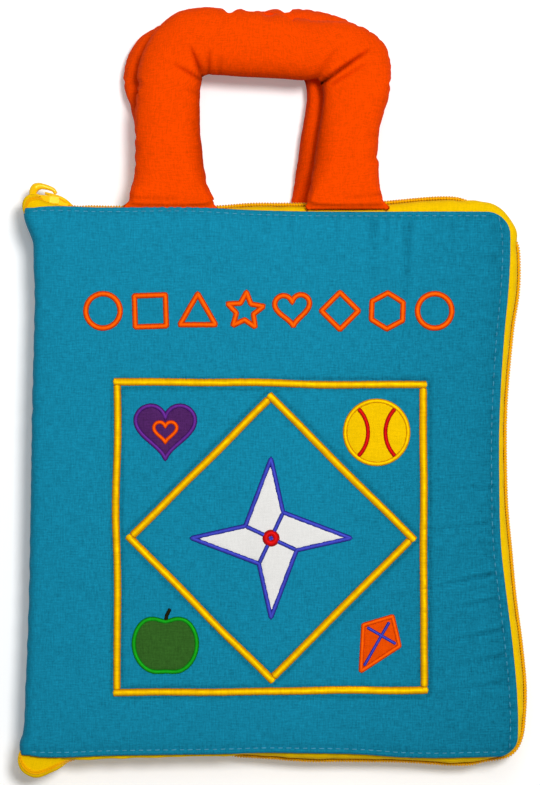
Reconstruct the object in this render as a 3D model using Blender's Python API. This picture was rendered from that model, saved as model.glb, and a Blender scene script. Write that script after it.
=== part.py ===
"""Closed cloth quiet book: padded covers, four leaves, a zip round three sides, two stuffed handles.

The book lies on its back cover. +Z is up, +Y points to the handles and the spine is at -X.
The origin is the middle of the back cover's flat underside. All lengths are in metres.
"""
import math
from collections import namedtuple

import bmesh
import bpy
from mathutils import Vector

# Clearance between pieces that touch, and how far a cutter runs past what it cuts.
GAP = 0.0003
OVERRUN = 0.001

# Covers, seen from the front: the spine edge is straight and the fore edge is drawn in at its waist.
SPINE_SIDE = 0.113
FORE_WAIST = 0.1044
FORE_TOP = 0.1093
FORE_BOTTOM = 0.1133
WAIST_Y = 0.015
COVER_TOP = 0.1253
COVER_BOTTOM = 0.1256
FORE_RADIUS = 0.009
SPINE_RADIUS = 0.002
COVER_FABRIC = 0.0008
COVER_LINING = 0.0006
BACK_THICKNESS = 0.0054
FRONT_THICKNESS = 0.0065
FRONT_SHOULDER = 0.025
BACK_SHOULDER = 0.005
FRONT_CROWN_SHARES = ((0.0, 0.6), (0.06, 0.71), (0.2, 0.84), (0.48, 0.95), (1.0, 1.0))
BACK_CROWN_SHARES = ((0.0, 0.76), (0.3, 0.92), (1.0, 1.0))

# Leaves: two page panels with wadding between, their spine edge bound in a folded tape.
PAGE_FABRIC = 0.0005
PAGE_WADDING = 0.0009
LEAF_INSET = 0.007
LEAF_RADIUS = 0.006
HINGE_TAPE = 0.0004
HINGE_TAPE_WIDTH = 0.007
LEAF_FAN = math.radians(30)

# Spine: outer fabric, wadding and lining, and the strip whose ribs carry the leaves.
SPINE_WADDING = 0.0012
SPINE_SAG = 0.001
STRIP_THICKNESS = 0.0006
RIB_LENGTH = 0.001
RIB_THICKNESS = 0.0012

# Pointer dial on the first leaf.
DIAL_RADIUS = 0.042
DIAL_Y = -0.02
DIAL_THICKNESS = 0.0006
POINTER_LENGTH = 0.03
POINTER_HUB = 0.006
POINTER_THICKNESS = 0.0006
STUD_RADIUS = 0.0015
STUD_HEAD_RADIUS = 0.004
STUD_HEAD_THICKNESS = 0.0004

# Counting beads on the third leaf.
BEAD_COUNT = 5
BEAD_RADIUS = 0.007
BEAD_THICKNESS = 0.003
BEAD_ROUNDING = 0.0012
BEAD_TRAVEL = 0.009
BEAD_CLEARANCE = 0.0006
BEAD_SPACE = 0.001
BEAD_ROW_Y = 0.045
CORD_RADIUS = 0.0005
CORD_SPARE = 0.01
TAB_LENGTH = 0.008
TAB_WIDTH = 0.012

# Zip: tapes sewn inside the covers' edges that bulge out to the coils between them.
TAPE_THICKNESS = 0.0006
TAPE_SEAM = 0.003
ZIP_OVERHANG = 0.004
TONGUE_OVERHANG = 0.0085
TONGUE_LENGTH = 0.022
ZIP_START_X = 0.108
COIL_RADIUS = 0.0008
TAPE_BEND_SHARES = (0.75, 0.3)

# Zip slider and its pull.
SLIDER_LENGTH = 0.0106
SLIDER_WALL = 0.001
SLIDER_FLANGE = 0.0018
SLIDER_X = -0.1035
SLIDER_BEVEL = 0.0004
POST_THICKNESS = 0.0007
POST_LENGTH = 0.003
LUG_WALL = 0.0009
LUG_WIDTH = 0.0018
LUG_OFFSET = 0.003
PULL_LENGTH = 0.0115
PULL_WIDTH = 0.0044
PULL_THICKNESS = 0.001
PULL_WINDOW = 0.0034
PULL_RADIUS = 0.0012

# Handles: stuffed tubes that are pressed flat where they are sewn into the covers' top edges.
HANDLE_LEG_X = -0.0474
HANDLE_LEG_SPACING = 0.0828
BACK_HANDLE_SHIFT = 0.006
HANDLE_TOP = 0.2165
HANDLE_WIDTH = 0.029
HANDLE_THICKNESS = 0.0162
HANDLE_FABRIC = 0.0008
HANDLE_BEND = 0.0165
HANDLE_BASE_WIDTH = 0.039
HANDLE_BASE_THICKNESS = 0.0026
HANDLE_FLARE = 0.012
HANDLE_SWELL = 0.026
STUFFING_START = 0.011
STUFFING_GAP = 0.0008
HANDLE_REST = 0.00005

# Stitched borders and patches on the front cover.
BORDER_SIZE = 0.1455
BORDER_Y = -0.0258
BORDER_WIDTH = 0.004
BORDER_HEIGHT = 0.001
PATCH_HEIGHT = 0.0007
PINWHEEL_RADIUS = 0.038
PINWHEEL_INNER = 0.013
MOTIF_RADIUS = 0.0145

# Points round the repeated curves.
CORNER_STEPS = 4
EDGE_STEPS = 6
HANDLE_SIDES = 10
ROUND_SIDES = 20

# Looks: red, green and blue from 0 to 255 as seen, roughness, metallic value.
TEAL_COTTON = ((24, 135, 167), 0.85, 0.0)
ORANGE_COTTON = ((248, 71, 2), 0.85, 0.0)
WHITE_COTTON = ((235, 233, 228), 0.9, 0.0)
CREAM_COTTON = ((240, 228, 200), 0.9, 0.0)
GREEN_COTTON = ((47, 88, 33), 0.9, 0.0)
PURPLE_COTTON = ((77, 37, 96), 0.9, 0.0)
YELLOW_COTTON = ((244, 197, 6), 0.85, 0.0)
YELLOW_SATIN = ((236, 175, 5), 0.55, 0.0)
ZIP_NYLON = ((225, 160, 5), 0.5, 0.0)
ZIP_ENAMEL = ((235, 180, 10), 0.4, 0.3)
WADDING = ((236, 234, 226), 1.0, 0.0)
RED_PLASTIC = ((220, 20, 20), 0.35, 0.0)
SMOOTH_ANGLE = math.radians(40)

Body = namedtuple("Body", "empty pivot")


def page_half():
    """Half the thickness of a leaf away from its bound edge."""
    return PAGE_WADDING / 2 + GAP + PAGE_FABRIC


def tape_half():
    """Half the thickness of a leaf over its hinge tape."""
    return page_half() + GAP + HINGE_TAPE


def leaf_heights():
    """Middle height of each leaf, from leaf 1 under the front cover to leaf 4 on the back cover."""
    pitch = (2 * tape_half() + GAP) / math.cos(LEAF_FAN)
    bead_room = GAP + BEAD_THICKNESS + BEAD_CLEARANCE
    fourth = BACK_THICKNESS + GAP + tape_half()
    third = fourth + pitch
    second = third + 2 * page_half() + bead_room
    first = second + pitch
    return (first, second, third, fourth)


LEAF_HEIGHTS = leaf_heights()
DIAL_ROOM = 4 * GAP + DIAL_THICKNESS + POINTER_THICKNESS + STUD_HEAD_THICKNESS
FRONT_INNER_Z = LEAF_HEIGHTS[0] + page_half() + DIAL_ROOM
BOOK_THICKNESS = FRONT_INNER_Z + FRONT_THICKNESS
SPINE_STACK = COVER_FABRIC + GAP + SPINE_WADDING + GAP + COVER_LINING
STRIP_X = -SPINE_SIDE + SPINE_STACK + GAP
LEAF_AXIS_X = STRIP_X + STRIP_THICKNESS + RIB_LENGTH + GAP + tape_half()
COVER_LEFT = -SPINE_SIDE + COVER_FABRIC + GAP
LEAF_FORE = FORE_WAIST - LEAF_INSET
LEAF_MIDDLE = (LEAF_AXIS_X + LEAF_FORE) / 2
ZIP_Z = (FRONT_INNER_Z + BACK_THICKNESS) / 2
COIL_OFFSET = COIL_RADIUS + GAP + POST_THICKNESS / 2
CHANNEL_HALF_DEPTH = COIL_RADIUS + GAP
CHANNEL_HALF_HEIGHT = COIL_OFFSET + COIL_RADIUS + GAP
SLIDER_HALF_HEIGHT = CHANNEL_HALF_HEIGHT + SLIDER_FLANGE
SLIDER_HALF_DEPTH = CHANNEL_HALF_DEPTH + SLIDER_WALL
ZIP_Y = COVER_TOP + ZIP_OVERHANG
PULL_REACH = PULL_THICKNESS * math.sqrt(0.5) + GAP
PULL_X = SLIDER_X + LUG_OFFSET
PULL_Y = ZIP_Y + SLIDER_HALF_DEPTH + PULL_REACH


def clear_scene():
    for old in list(bpy.data.objects):
        bpy.data.objects.remove(old)


def to_linear(channel):
    """Linear value of a colour channel that is given from 0 to 255 as seen."""
    value = channel / 255
    return value / 12.92 if value <= 0.04045 else ((value + 0.055) / 1.055) ** 2.4


def make_material(name, look):
    colour, roughness, metallic = look
    material = bpy.data.materials.new(name)
    material.use_nodes = True
    shader = material.node_tree.nodes["Principled BSDF"]
    shader.inputs["Base Color"].default_value = (*(to_linear(c) for c in colour), 1.0)
    shader.inputs["Roughness"].default_value = roughness
    shader.inputs["Metallic"].default_value = metallic
    return material


def make_body(name, pivot, parent=None):
    """Empty on a joint's axis that carries one moving group of pieces."""
    empty = bpy.data.objects.new(name, None)
    bpy.context.collection.objects.link(empty)
    empty.location = pivot
    if parent:
        empty.parent = parent.empty
        empty.location = Vector(pivot) - Vector(parent.pivot)
    return Body(empty, Vector(pivot))


def add_mesh(name, mesh, body, place=(0, 0, 0)):
    """Object with a mesh that is measured from its place, carried by a body."""
    piece = bpy.data.objects.new(name, mesh)
    bpy.context.collection.objects.link(piece)
    piece.parent = body.empty
    piece.location = Vector(place) - body.pivot
    return piece


def add_piece(name, bm, body, look, place=(0, 0, 0)):
    mesh = bpy.data.meshes.new(name)
    bm.to_mesh(mesh)
    bm.free()
    mesh.shade_smooth()
    mesh.set_sharp_from_angle(angle=SMOOTH_ANGLE)
    mesh.materials.append(make_material(name, look))
    return add_mesh(name, mesh, body, place)


def add_cutter(name, bm, body, place=(0, 0, 0)):
    """Guide solid for a Boolean, left out of the model."""
    mesh = bpy.data.meshes.new(name)
    bm.to_mesh(mesh)
    bm.free()
    cutter = add_mesh(name, mesh, body, place)
    cutter.hide_render = True
    cutter.display_type = "WIRE"
    return cutter


def combine(piece, cutter, operation):
    modifier = piece.modifiers.new(cutter.name, "BOOLEAN")
    modifier.object = cutter
    modifier.operation = operation
    modifier.solver = "EXACT"


def loft(rings, closed=False):
    """Solid through rings of equal length; an open loft is capped at both ends."""
    bm = bmesh.new()
    loops = [[bm.verts.new(point) for point in ring] for ring in rings]
    pairs = list(zip(loops, loops[1:]))
    if closed:
        pairs.append((loops[-1], loops[0]))
    for near, far in pairs:
        for index, vertex in enumerate(near):
            after = (index + 1) % len(near)
            bm.faces.new((vertex, near[after], far[after], far[index]))
    if not closed:
        bm.faces.new(loops[0][::-1])
        bm.faces.new(loops[-1])
    bmesh.ops.recalc_face_normals(bm, faces=bm.faces[:])
    return bm


def at_height(outline, z):
    return [(x, y, z) for x, y in outline]


def plate(outline, low, high):
    """Flat solid with an outline in plan."""
    return loft([at_height(outline, low), at_height(outline, high)])


def holed_plate(outline, hole, low, high):
    """Flat solid with one hole that has as many points as its outline."""
    rings = [at_height(outline, low), at_height(outline, high)]
    rings += [at_height(hole, high), at_height(hole, low)]
    return loft(rings, closed=True)


def prism_along_y(profile, low, high):
    """Solid with a profile of x and z, run along Y."""
    return loft([[(x, y, z) for x, z in profile] for y in (low, high)])


def box(half_x, half_y, half_z):
    outline = [(-half_x, -half_y), (half_x, -half_y), (half_x, half_y), (-half_x, half_y)]
    return plate(outline, -half_z, half_z)


def circle(radius, sides, x=0.0, y=0.0):
    turns = [2 * math.pi * (index + 0.5) / sides for index in range(sides)]
    return [(x + radius * math.cos(a), y + radius * math.sin(a)) for a in turns]


def arc(centre_x, centre_y, radius, start, end, steps):
    """Points on an arc, its angles given in degrees."""
    points = []
    for index in range(steps + 1):
        angle = math.radians(start + (end - start) * index / steps)
        points.append((centre_x + radius * math.cos(angle), centre_y + radius * math.sin(angle)))
    return points


def spread(start, end, steps):
    """Points between two others, without them."""
    shares = [index / steps for index in range(1, steps)]
    return [(start[0] + (end[0] - start[0]) * s, start[1] + (end[1] - start[1]) * s) for s in shares]


def rounded_outline(left, right, bottom, top, spine_radius, fore_radius, edge_steps):
    """Rounded rectangle with points spread along its edges, anticlockwise from the lower fore corner."""
    corners = (
        arc(right - fore_radius, bottom + fore_radius, fore_radius, -90, 0, CORNER_STEPS),
        arc(right - fore_radius, top - fore_radius, fore_radius, 0, 90, CORNER_STEPS),
        arc(left + spine_radius, top - spine_radius, spine_radius, 90, 180, CORNER_STEPS // 2),
        arc(left + spine_radius, bottom + spine_radius, spine_radius, 180, 270, CORNER_STEPS // 2),
    )
    outline = []
    for index, corner in enumerate(corners):
        outline += corner
        outline += spread(corner[-1], corners[(index + 1) % 4][0], edge_steps)
    return outline


def fore_edge(y):
    """X of the covers' fore edge, drawn in at the waist."""
    if y > WAIST_Y:
        share = (y - WAIST_Y) / (COVER_TOP - WAIST_Y)
        return FORE_WAIST + (FORE_TOP - FORE_WAIST) * share**2
    share = (WAIST_Y - y) / (WAIST_Y + COVER_BOTTOM)
    return FORE_WAIST + (FORE_BOTTOM - FORE_WAIST) * share**2


def cover_outline(inset):
    plain = rounded_outline(
        COVER_LEFT + inset, FORE_WAIST - inset, inset - COVER_BOTTOM, COVER_TOP - inset,
        SPINE_RADIUS, FORE_RADIUS, EDGE_STEPS,
    )
    width = FORE_WAIST - COVER_LEFT
    return [(COVER_LEFT + (x - COVER_LEFT) * (fore_edge(y) - COVER_LEFT) / width, y) for x, y in plain]


def crown_rings(crown, shoulder, thickness, skin, inner_z, outward):
    """Rings of a padded cover's outer surface, sunk by a skin, from its edge to its middle."""
    rings = []
    for inset_share, height_share in crown:
        inset = skin + inset_share * (shoulder - skin)
        height = height_share * thickness - skin
        rings.append(at_height(cover_outline(inset), inner_z + outward * height))
    return rings


def padded_cover(prefix, body, crown, shoulder, thickness, inner_z, outward):
    """Outer fabric, wadding and lining of one cover; outward is +1 for the front and -1 for the back."""
    skin = COVER_FABRIC
    inside = crown_rings(crown, shoulder, thickness, skin, inner_z, outward)
    outside = crown_rings(crown, shoulder, thickness, 0.0, inner_z, outward)
    rims = [at_height(cover_outline(skin), inner_z), at_height(cover_outline(0.0), inner_z)]
    add_piece(prefix + "_fabric", loft(inside[::-1] + rims + outside), body, TEAL_COTTON)

    skin = COVER_FABRIC + GAP
    floor_z = inner_z + outward * (COVER_LINING + GAP)
    padding = [at_height(cover_outline(skin), floor_z)]
    padding += crown_rings(crown, shoulder, thickness, skin, inner_z, outward)
    add_piece(prefix + "_wadding", loft(padding), body, WADDING)

    lining = plate(cover_outline(skin), inner_z, inner_z + outward * COVER_LINING)
    add_piece(prefix + "_lining", lining, body, WHITE_COTTON)


def band_profile(outer_x, thickness, low, high, sag):
    """Profile of a spine layer that bulges outwards by a sag."""
    steps = 6
    outer = []
    for index in range(steps + 1):
        share = index / steps
        outer.append((outer_x - sag * 4 * share * (1 - share), low + (high - low) * share))
    return outer + [(x + thickness, z) for x, z in outer[::-1]]


def make_spine(body):
    low_y = GAP - COVER_BOTTOM
    high_y = COVER_TOP - GAP
    outer = band_profile(-SPINE_SIDE, COVER_FABRIC, GAP, BOOK_THICKNESS - GAP, SPINE_SAG)
    add_piece("spine_fabric", prism_along_y(outer, low_y, high_y), body, TEAL_COTTON)

    low = BACK_THICKNESS + 2 * GAP
    high = FRONT_INNER_Z - 2 * GAP
    padding_x = -SPINE_SIDE + COVER_FABRIC + GAP
    padding = band_profile(padding_x, SPINE_WADDING, low, high, 0.0)
    add_piece("spine_wadding", prism_along_y(padding, low_y, high_y), body, WADDING)
    lining_x = padding_x + SPINE_WADDING + GAP
    lining = band_profile(lining_x, COVER_LINING, low, high, 0.0)
    add_piece("spine_lining", prism_along_y(lining, low_y, high_y), body, WHITE_COTTON)
    make_binding_strip(body, low, high)


def make_binding_strip(body, low, high):
    """Strip sewn to the spine lining, with a rib that holds each leaf."""
    rib_x = STRIP_X + STRIP_THICKNESS
    profile = [(STRIP_X, high), (STRIP_X, low), (rib_x, low)]
    for height in LEAF_HEIGHTS[::-1]:
        under = height - RIB_THICKNESS / 2
        over = height + RIB_THICKNESS / 2
        profile += [(rib_x, under), (rib_x + RIB_LENGTH, under), (rib_x + RIB_LENGTH, over), (rib_x, over)]
    profile.append((rib_x, high))
    half_length = COVER_TOP - LEAF_INSET
    strip = prism_along_y(profile, -half_length, half_length)
    add_piece("leaf_binding_strip", strip, body, TEAL_COTTON)


def hinge_tape_profile(height):
    """Folded tape whose nose is round about the leaf's hinge axis."""
    outer_half = tape_half()
    inner_half = outer_half - HINGE_TAPE
    end_x = LEAF_AXIS_X + HINGE_TAPE_WIDTH
    outer = arc(LEAF_AXIS_X, height, outer_half, 90, 270, 6)
    inner = arc(LEAF_AXIS_X, height, inner_half, 270, 90, 6)
    profile = [(end_x, height + outer_half)] + outer + [(end_x, height - outer_half)]
    return profile + [(end_x, height - inner_half)] + inner + [(end_x, height + inner_half)]


def make_leaf(number, body, look):
    """Two page panels, wadding and hinge tape of one leaf."""
    height = LEAF_HEIGHTS[number - 1]
    half_length = COVER_TOP - LEAF_INSET
    outline = rounded_outline(
        LEAF_AXIS_X, LEAF_FORE, -half_length, half_length, SPINE_RADIUS, LEAF_RADIUS, 1
    )
    inner = PAGE_WADDING / 2
    prefix = f"leaf_{number}"
    front = plate(outline, height + inner + GAP, height + page_half())
    add_piece(prefix + "_front_page", front, body, look)
    add_piece(prefix + "_wadding", plate(outline, height - inner, height + inner), body, WADDING)
    back = plate(outline, height - page_half(), height - inner - GAP)
    add_piece(prefix + "_back_page", back, body, look)
    tape = prism_along_y(hinge_tape_profile(height), -half_length, half_length)
    add_piece(prefix + "_hinge_tape", tape, body, TEAL_COTTON)


def pointer_outline(sides):
    """Round hub with one long point towards +Y."""
    outline = []
    for index in range(sides):
        angle = 2 * math.pi * index / sides
        reach = POINTER_LENGTH if index == sides // 4 else POINTER_HUB
        outline.append((reach * math.cos(angle), reach * math.sin(angle)))
    return outline


def make_dial(leaf, pointer):
    """Dial patch and stud on the first leaf, and the pointer that turns on the stud."""
    dial_low = LEAF_HEIGHTS[0] + page_half() + GAP
    dial_high = dial_low + DIAL_THICKNESS
    pointer_low = dial_high + GAP
    head_low = pointer_low + POINTER_THICKNESS + GAP
    place = (LEAF_MIDDLE, DIAL_Y, 0)
    dial = plate(circle(DIAL_RADIUS, 2 * ROUND_SIDES), dial_low, dial_high)
    add_piece("dial_patch", dial, leaf, YELLOW_COTTON, place)

    shank = circle(STUD_RADIUS, ROUND_SIDES)
    head = circle(STUD_HEAD_RADIUS, ROUND_SIDES)
    rings = [at_height(shank, dial_high + GAP), at_height(shank, head_low)]
    rings += [at_height(head, head_low), at_height(head, head_low + STUD_HEAD_THICKNESS)]
    add_piece("pointer_stud", loft(rings), leaf, RED_PLASTIC, place)

    hole = [
        ((STUD_RADIUS + GAP) * math.cos(a), (STUD_RADIUS + GAP) * math.sin(a))
        for a in (2 * math.pi * index / ROUND_SIDES for index in range(ROUND_SIDES))
    ]
    hand = holed_plate(pointer_outline(ROUND_SIDES), hole, pointer_low, pointer_low + POINTER_THICKNESS)
    add_piece("dial_pointer", hand, pointer, RED_PLASTIC, place)


def bead_places():
    """X of each counting bead at rest, its slide to +X still free."""
    pitch = 2 * BEAD_RADIUS + BEAD_TRAVEL + BEAD_SPACE
    first = LEAF_MIDDLE - (pitch * (BEAD_COUNT - 1) + BEAD_TRAVEL) / 2
    return [first + pitch * index for index in range(BEAD_COUNT)]


def bead_mesh():
    """Rounded disc with a hole along X for the cord."""
    half = BEAD_THICKNESS / 2
    rings = [
        at_height(circle(BEAD_RADIUS - BEAD_ROUNDING, ROUND_SIDES), -half),
        at_height(circle(BEAD_RADIUS, ROUND_SIDES), BEAD_ROUNDING - half),
        at_height(circle(BEAD_RADIUS, ROUND_SIDES), half - BEAD_ROUNDING),
        at_height(circle(BEAD_RADIUS - BEAD_ROUNDING, ROUND_SIDES), half),
    ]
    workbench = make_body("bead_workbench", (0, 0, 0))
    blank = add_piece("bead_blank", loft(rings), workbench, RED_PLASTIC)
    reach = BEAD_RADIUS + OVERRUN
    wall = circle(CORD_RADIUS + GAP, ROUND_SIDES // 2)
    drill = loft([[(x, y, z) for y, z in wall] for x in (-reach, reach)])
    cutter = add_cutter("bead_drill", drill, workbench)
    combine(blank, cutter, "DIFFERENCE")
    bpy.context.view_layer.update()
    finished = blank.evaluated_get(bpy.context.evaluated_depsgraph_get())
    mesh = bpy.data.meshes.new_from_object(finished)
    for used in (blank, cutter, workbench.empty):
        bpy.data.objects.remove(used)
    return mesh


def make_beads(leaf, beads):
    """Counting beads on a cord that is held by a sewn tab at each end."""
    height = LEAF_HEIGHTS[2] + page_half() + GAP + BEAD_THICKNESS / 2
    shared = bead_mesh()
    for index, (x, body) in enumerate(zip(bead_places(), beads)):
        mesh = shared.copy()
        mesh.materials.clear()
        mesh.materials.append(make_material(f"counting_bead_{index + 1}", RED_PLASTIC))
        add_mesh(f"counting_bead_{index + 1}", mesh, body, (x, BEAD_ROW_Y, height))

    half_cord = LEAF_MIDDLE - bead_places()[0] + BEAD_RADIUS + CORD_SPARE
    section = circle(CORD_RADIUS, ROUND_SIDES // 2)
    cord = loft([[(x, y, z) for y, z in section] for x in (-half_cord, half_cord)])
    add_piece("counting_cord", cord, leaf, YELLOW_COTTON, (LEAF_MIDDLE, BEAD_ROW_Y, height))
    for name, side in (("cord_tab_left", -1), ("cord_tab_right", 1)):
        x = LEAF_MIDDLE + side * (half_cord + GAP + TAB_LENGTH / 2)
        tab = box(TAB_LENGTH / 2, TAB_WIDTH / 2, BEAD_THICKNESS / 2)
        add_piece(name, tab, leaf, TEAL_COTTON, (x, BEAD_ROW_Y, height))


def smooth_share(value):
    """Eased share between 0 and 1."""
    share = min(max(value, 0.0), 1.0)
    return share * share * (3 - 2 * share)


def zip_route():
    """Places on the covers' edge with their outward direction and overhang, from slider to tongue."""
    top_y = COVER_TOP - FORE_RADIUS
    low_y = FORE_RADIUS - COVER_BOTTOM
    top_x = fore_edge(top_y) - FORE_RADIUS
    low_x = fore_edge(low_y) - FORE_RADIUS
    route = [((-ZIP_START_X, COVER_TOP), (0, 1), ZIP_OVERHANG)]
    for index in range(CORNER_STEPS + 1):
        angle = math.radians(90 - 90 * index / CORNER_STEPS)
        outward = (math.cos(angle), math.sin(angle))
        place = (top_x + FORE_RADIUS * outward[0], top_y + FORE_RADIUS * outward[1])
        route.append((place, outward, ZIP_OVERHANG))
    for index in range(1, EDGE_STEPS):
        y = top_y + (low_y - top_y) * index / EDGE_STEPS
        route.append(((fore_edge(y), y), (1, 0), ZIP_OVERHANG))
    for index in range(CORNER_STEPS + 1):
        angle = math.radians(-90 * index / CORNER_STEPS)
        outward = (math.cos(angle), math.sin(angle))
        place = (low_x + FORE_RADIUS * outward[0], low_y + FORE_RADIUS * outward[1])
        route.append((place, outward, ZIP_OVERHANG))
    tongue_x = STRIP_X + TONGUE_LENGTH
    for index in range(EDGE_STEPS + 1):
        share = index / EDGE_STEPS
        overhang = ZIP_OVERHANG + (TONGUE_OVERHANG - ZIP_OVERHANG) * smooth_share(share)
        route.append(((tongue_x - TONGUE_LENGTH * share, -COVER_BOTTOM), (0, -1), overhang))
    return route


def tape_section(overhang):
    """Middle line of a tape's section: offsets from the covers' edge and heights from the zip's middle."""
    seam = FRONT_INNER_Z - GAP - TAPE_THICKNESS / 2 - ZIP_Z
    straight = SLIDER_HALF_HEIGHT + 2 * GAP
    bend_out, bend_down = TAPE_BEND_SHARES
    return [
        (-TAPE_SEAM, seam),
        (0.0, seam),
        (bend_out * overhang, seam - bend_down * (seam - straight)),
        (overhang, straight),
        (overhang, COIL_OFFSET + COIL_RADIUS + GAP),
    ]


def thickened(line, thickness):
    """Closed outline of a line with a thickness; its corners are mitred."""
    sides = ([], [])
    for index, point in enumerate(line):
        before = Vector(line[max(index - 1, 0)])
        after = Vector(line[min(index + 1, len(line) - 1)])
        here = Vector(point)
        steps = [s.normalized() for s in (here - before, after - here) if s.length > 0]
        along = sum(steps, Vector((0, 0))).normalized()
        across = Vector((-along.y, along.x)) * (thickness / 2) / along.dot(steps[0])
        sides[0].append(here + across)
        sides[1].append(here - across)
    return sides[0] + sides[1][::-1]


def along_route(section_at, side):
    """Solid that a section makes along the zip; side is +1 for the front half and -1 for the back."""
    rings = []
    for place, outward, overhang in zip_route():
        rings.append([
            (place[0] + outward[0] * offset, place[1] + outward[1] * offset, ZIP_Z + side * rise)
            for offset, rise in section_at(overhang)
        ])
    return loft(rings)


def make_zip_half(suffix, body, side):
    tape = along_route(lambda overhang: thickened(tape_section(overhang), TAPE_THICKNESS), side)
    add_piece("zip_tape_" + suffix, tape, body, YELLOW_COTTON)
    coil = along_route(lambda overhang: circle(COIL_RADIUS, 8, overhang, COIL_OFFSET), side)
    add_piece("zip_coil_" + suffix, coil, body, ZIP_NYLON)


def make_slider(body):
    """Slider whose two plates clasp the coils and are joined by a thin post between them."""
    place = (SLIDER_X, ZIP_Y, ZIP_Z)
    half_length = SLIDER_LENGTH / 2
    block = box(half_length, SLIDER_HALF_DEPTH, SLIDER_HALF_HEIGHT)
    slider = add_piece("zip_slider_body", block, body, ZIP_ENAMEL, place)
    bevel = slider.modifiers.new("edges", "BEVEL")
    bevel.width = SLIDER_BEVEL
    bevel.segments = 2

    depth = CHANNEL_HALF_DEPTH
    height = CHANNEL_HALF_HEIGHT
    slot = TAPE_THICKNESS / 2 + GAP
    reach = SLIDER_HALF_HEIGHT + OVERRUN
    quarter = [(depth, height), (slot, height), (slot, reach)]
    left = [(-y, z) for y, z in quarter[::-1]]
    upper = quarter + left
    cross = upper + [(y, -z) for y, z in upper[::-1]]
    ends = (-half_length - OVERRUN, half_length + OVERRUN)
    channel = loft([[(x, y, z) for y, z in cross] for x in ends])
    combine(slider, add_cutter("slider_channel", channel, body, place), "DIFFERENCE")

    post = box(POST_LENGTH / 2, depth + SLIDER_WALL / 2, POST_THICKNESS / 2)
    post_place = (SLIDER_X - half_length + POST_LENGTH, ZIP_Y, ZIP_Z)
    combine(slider, add_cutter("slider_post", post, body, post_place), "UNION")

    inner = PULL_REACH
    outer = inner + LUG_WALL
    root = PULL_REACH + SLIDER_WALL / 2
    arch = [
        (-outer, -root), (-inner, -root), (-inner, inner), (inner, inner),
        (inner, -root), (outer, -root), (outer, outer), (-outer, outer),
    ]
    lug = plate(arch, -LUG_WIDTH / 2, LUG_WIDTH / 2)
    lug_place = (PULL_X, PULL_Y, ZIP_Z)
    combine(slider, add_cutter("slider_lug", lug, body, lug_place), "UNION")


def make_pull(body):
    """Pull that lies along the slider towards the spine, its end bar held under the slider's lug."""
    bar = PULL_THICKNESS / 2
    half_width = PULL_WIDTH / 2
    window_half = LUG_WIDTH / 2 + GAP
    outer = rounded_outline(-PULL_LENGTH, bar, -half_width, half_width, PULL_RADIUS, bar, 1)
    rim = (half_width - window_half) / 2
    inner = rounded_outline(-bar - PULL_WINDOW, -bar, -window_half, window_half, rim, rim, 1)
    levels = ((outer, -bar), (outer, bar), (inner, bar), (inner, -bar))
    rings = [[(x, level, z) for x, z in outline] for outline, level in levels]
    add_piece("zip_pull_tab", loft(rings, closed=True), body, ZIP_ENAMEL, (PULL_X, PULL_Y, ZIP_Z))


def handle_stations(left_x, base_z, full_z):
    """Centre, sideways direction, half width and half thickness along a handle, leg to leg."""
    base_y = COVER_TOP + 2 * GAP
    bar_y = HANDLE_TOP - HANDLE_WIDTH / 2
    bend_y = bar_y - HANDLE_BEND
    right_x = left_x + HANDLE_LEG_SPACING
    rise_shares = (0.0, 0.1, 0.25, 0.45, 0.7, 1.0)
    rises = [HANDLE_SWELL * share for share in rise_shares]
    path = [((left_x, base_y + rise), (-1, 0)) for rise in rises]
    for index in range(CORNER_STEPS + 1):
        angle = math.radians(180 - 90 * index / CORNER_STEPS)
        sideways = (math.cos(angle), math.sin(angle))
        place = (left_x + HANDLE_BEND * (1 + sideways[0]), bend_y + HANDLE_BEND * sideways[1])
        path.append((place, sideways))
    middle = (left_x + right_x) / 2
    mirrored = [((2 * middle - x, y), (-sx, sy)) for (x, y), (sx, sy) in path[::-1]]
    path += [((middle, bar_y), (0, 1))] + mirrored

    stations = []
    for (x, y), sideways in path:
        rise = y - base_y
        swell = smooth_share(rise / HANDLE_SWELL)
        flare = 1 - smooth_share(rise / HANDLE_FLARE)
        half_width = (HANDLE_WIDTH + (HANDLE_BASE_WIDTH - HANDLE_WIDTH) * flare) / 2
        half_thick = (HANDLE_BASE_THICKNESS + (HANDLE_THICKNESS - HANDLE_BASE_THICKNESS) * swell) / 2
        z = base_z + (full_z - base_z) * swell
        stations.append(((x, y, z), sideways, half_width, half_thick))
    return stations


def handle_rings(stations, skin):
    """Oval rings of a handle, sunk by a skin."""
    rings = []
    for (x, y, z), (side_x, side_y), half_width, half_thick in stations:
        ring = []
        for across, up in circle(1.0, HANDLE_SIDES):
            reach = across * (half_width - skin)
            ring.append((x + side_x * reach, y + side_y * reach, z + up * (half_thick - skin)))
        rings.append(ring)
    return rings


def make_handle(prefix, body, left_x, base_z, full_z):
    """Fabric tube that is open at its flattened ends, and its stuffing."""
    stations = handle_stations(left_x, base_z, full_z)
    outer = handle_rings(stations, 0.0)
    inner = handle_rings(stations, HANDLE_FABRIC)
    add_piece(prefix + "_fabric", loft(outer + inner[::-1], closed=True), body, ORANGE_COTTON)
    start_y = COVER_TOP + STUFFING_START
    stuffed = [station for station in stations if station[0][1] >= start_y]
    stuffing = loft(handle_rings(stuffed, HANDLE_FABRIC + STUFFING_GAP))
    add_piece(prefix + "_stuffing", stuffing, body, WADDING)


def heart(radius, sides):
    """Heart that fits a radius, its point towards -Y."""
    points = []
    for index in range(sides):
        a = 2 * math.pi * (index + 0.5) / sides
        x = 16 * math.sin(a) ** 3
        y = 13 * math.cos(a) - 5 * math.cos(2 * a) - 2 * math.cos(3 * a) - math.cos(4 * a)
        points.append((-x * radius / 17, (y + 2.5) * radius / 17))
    return points


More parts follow.
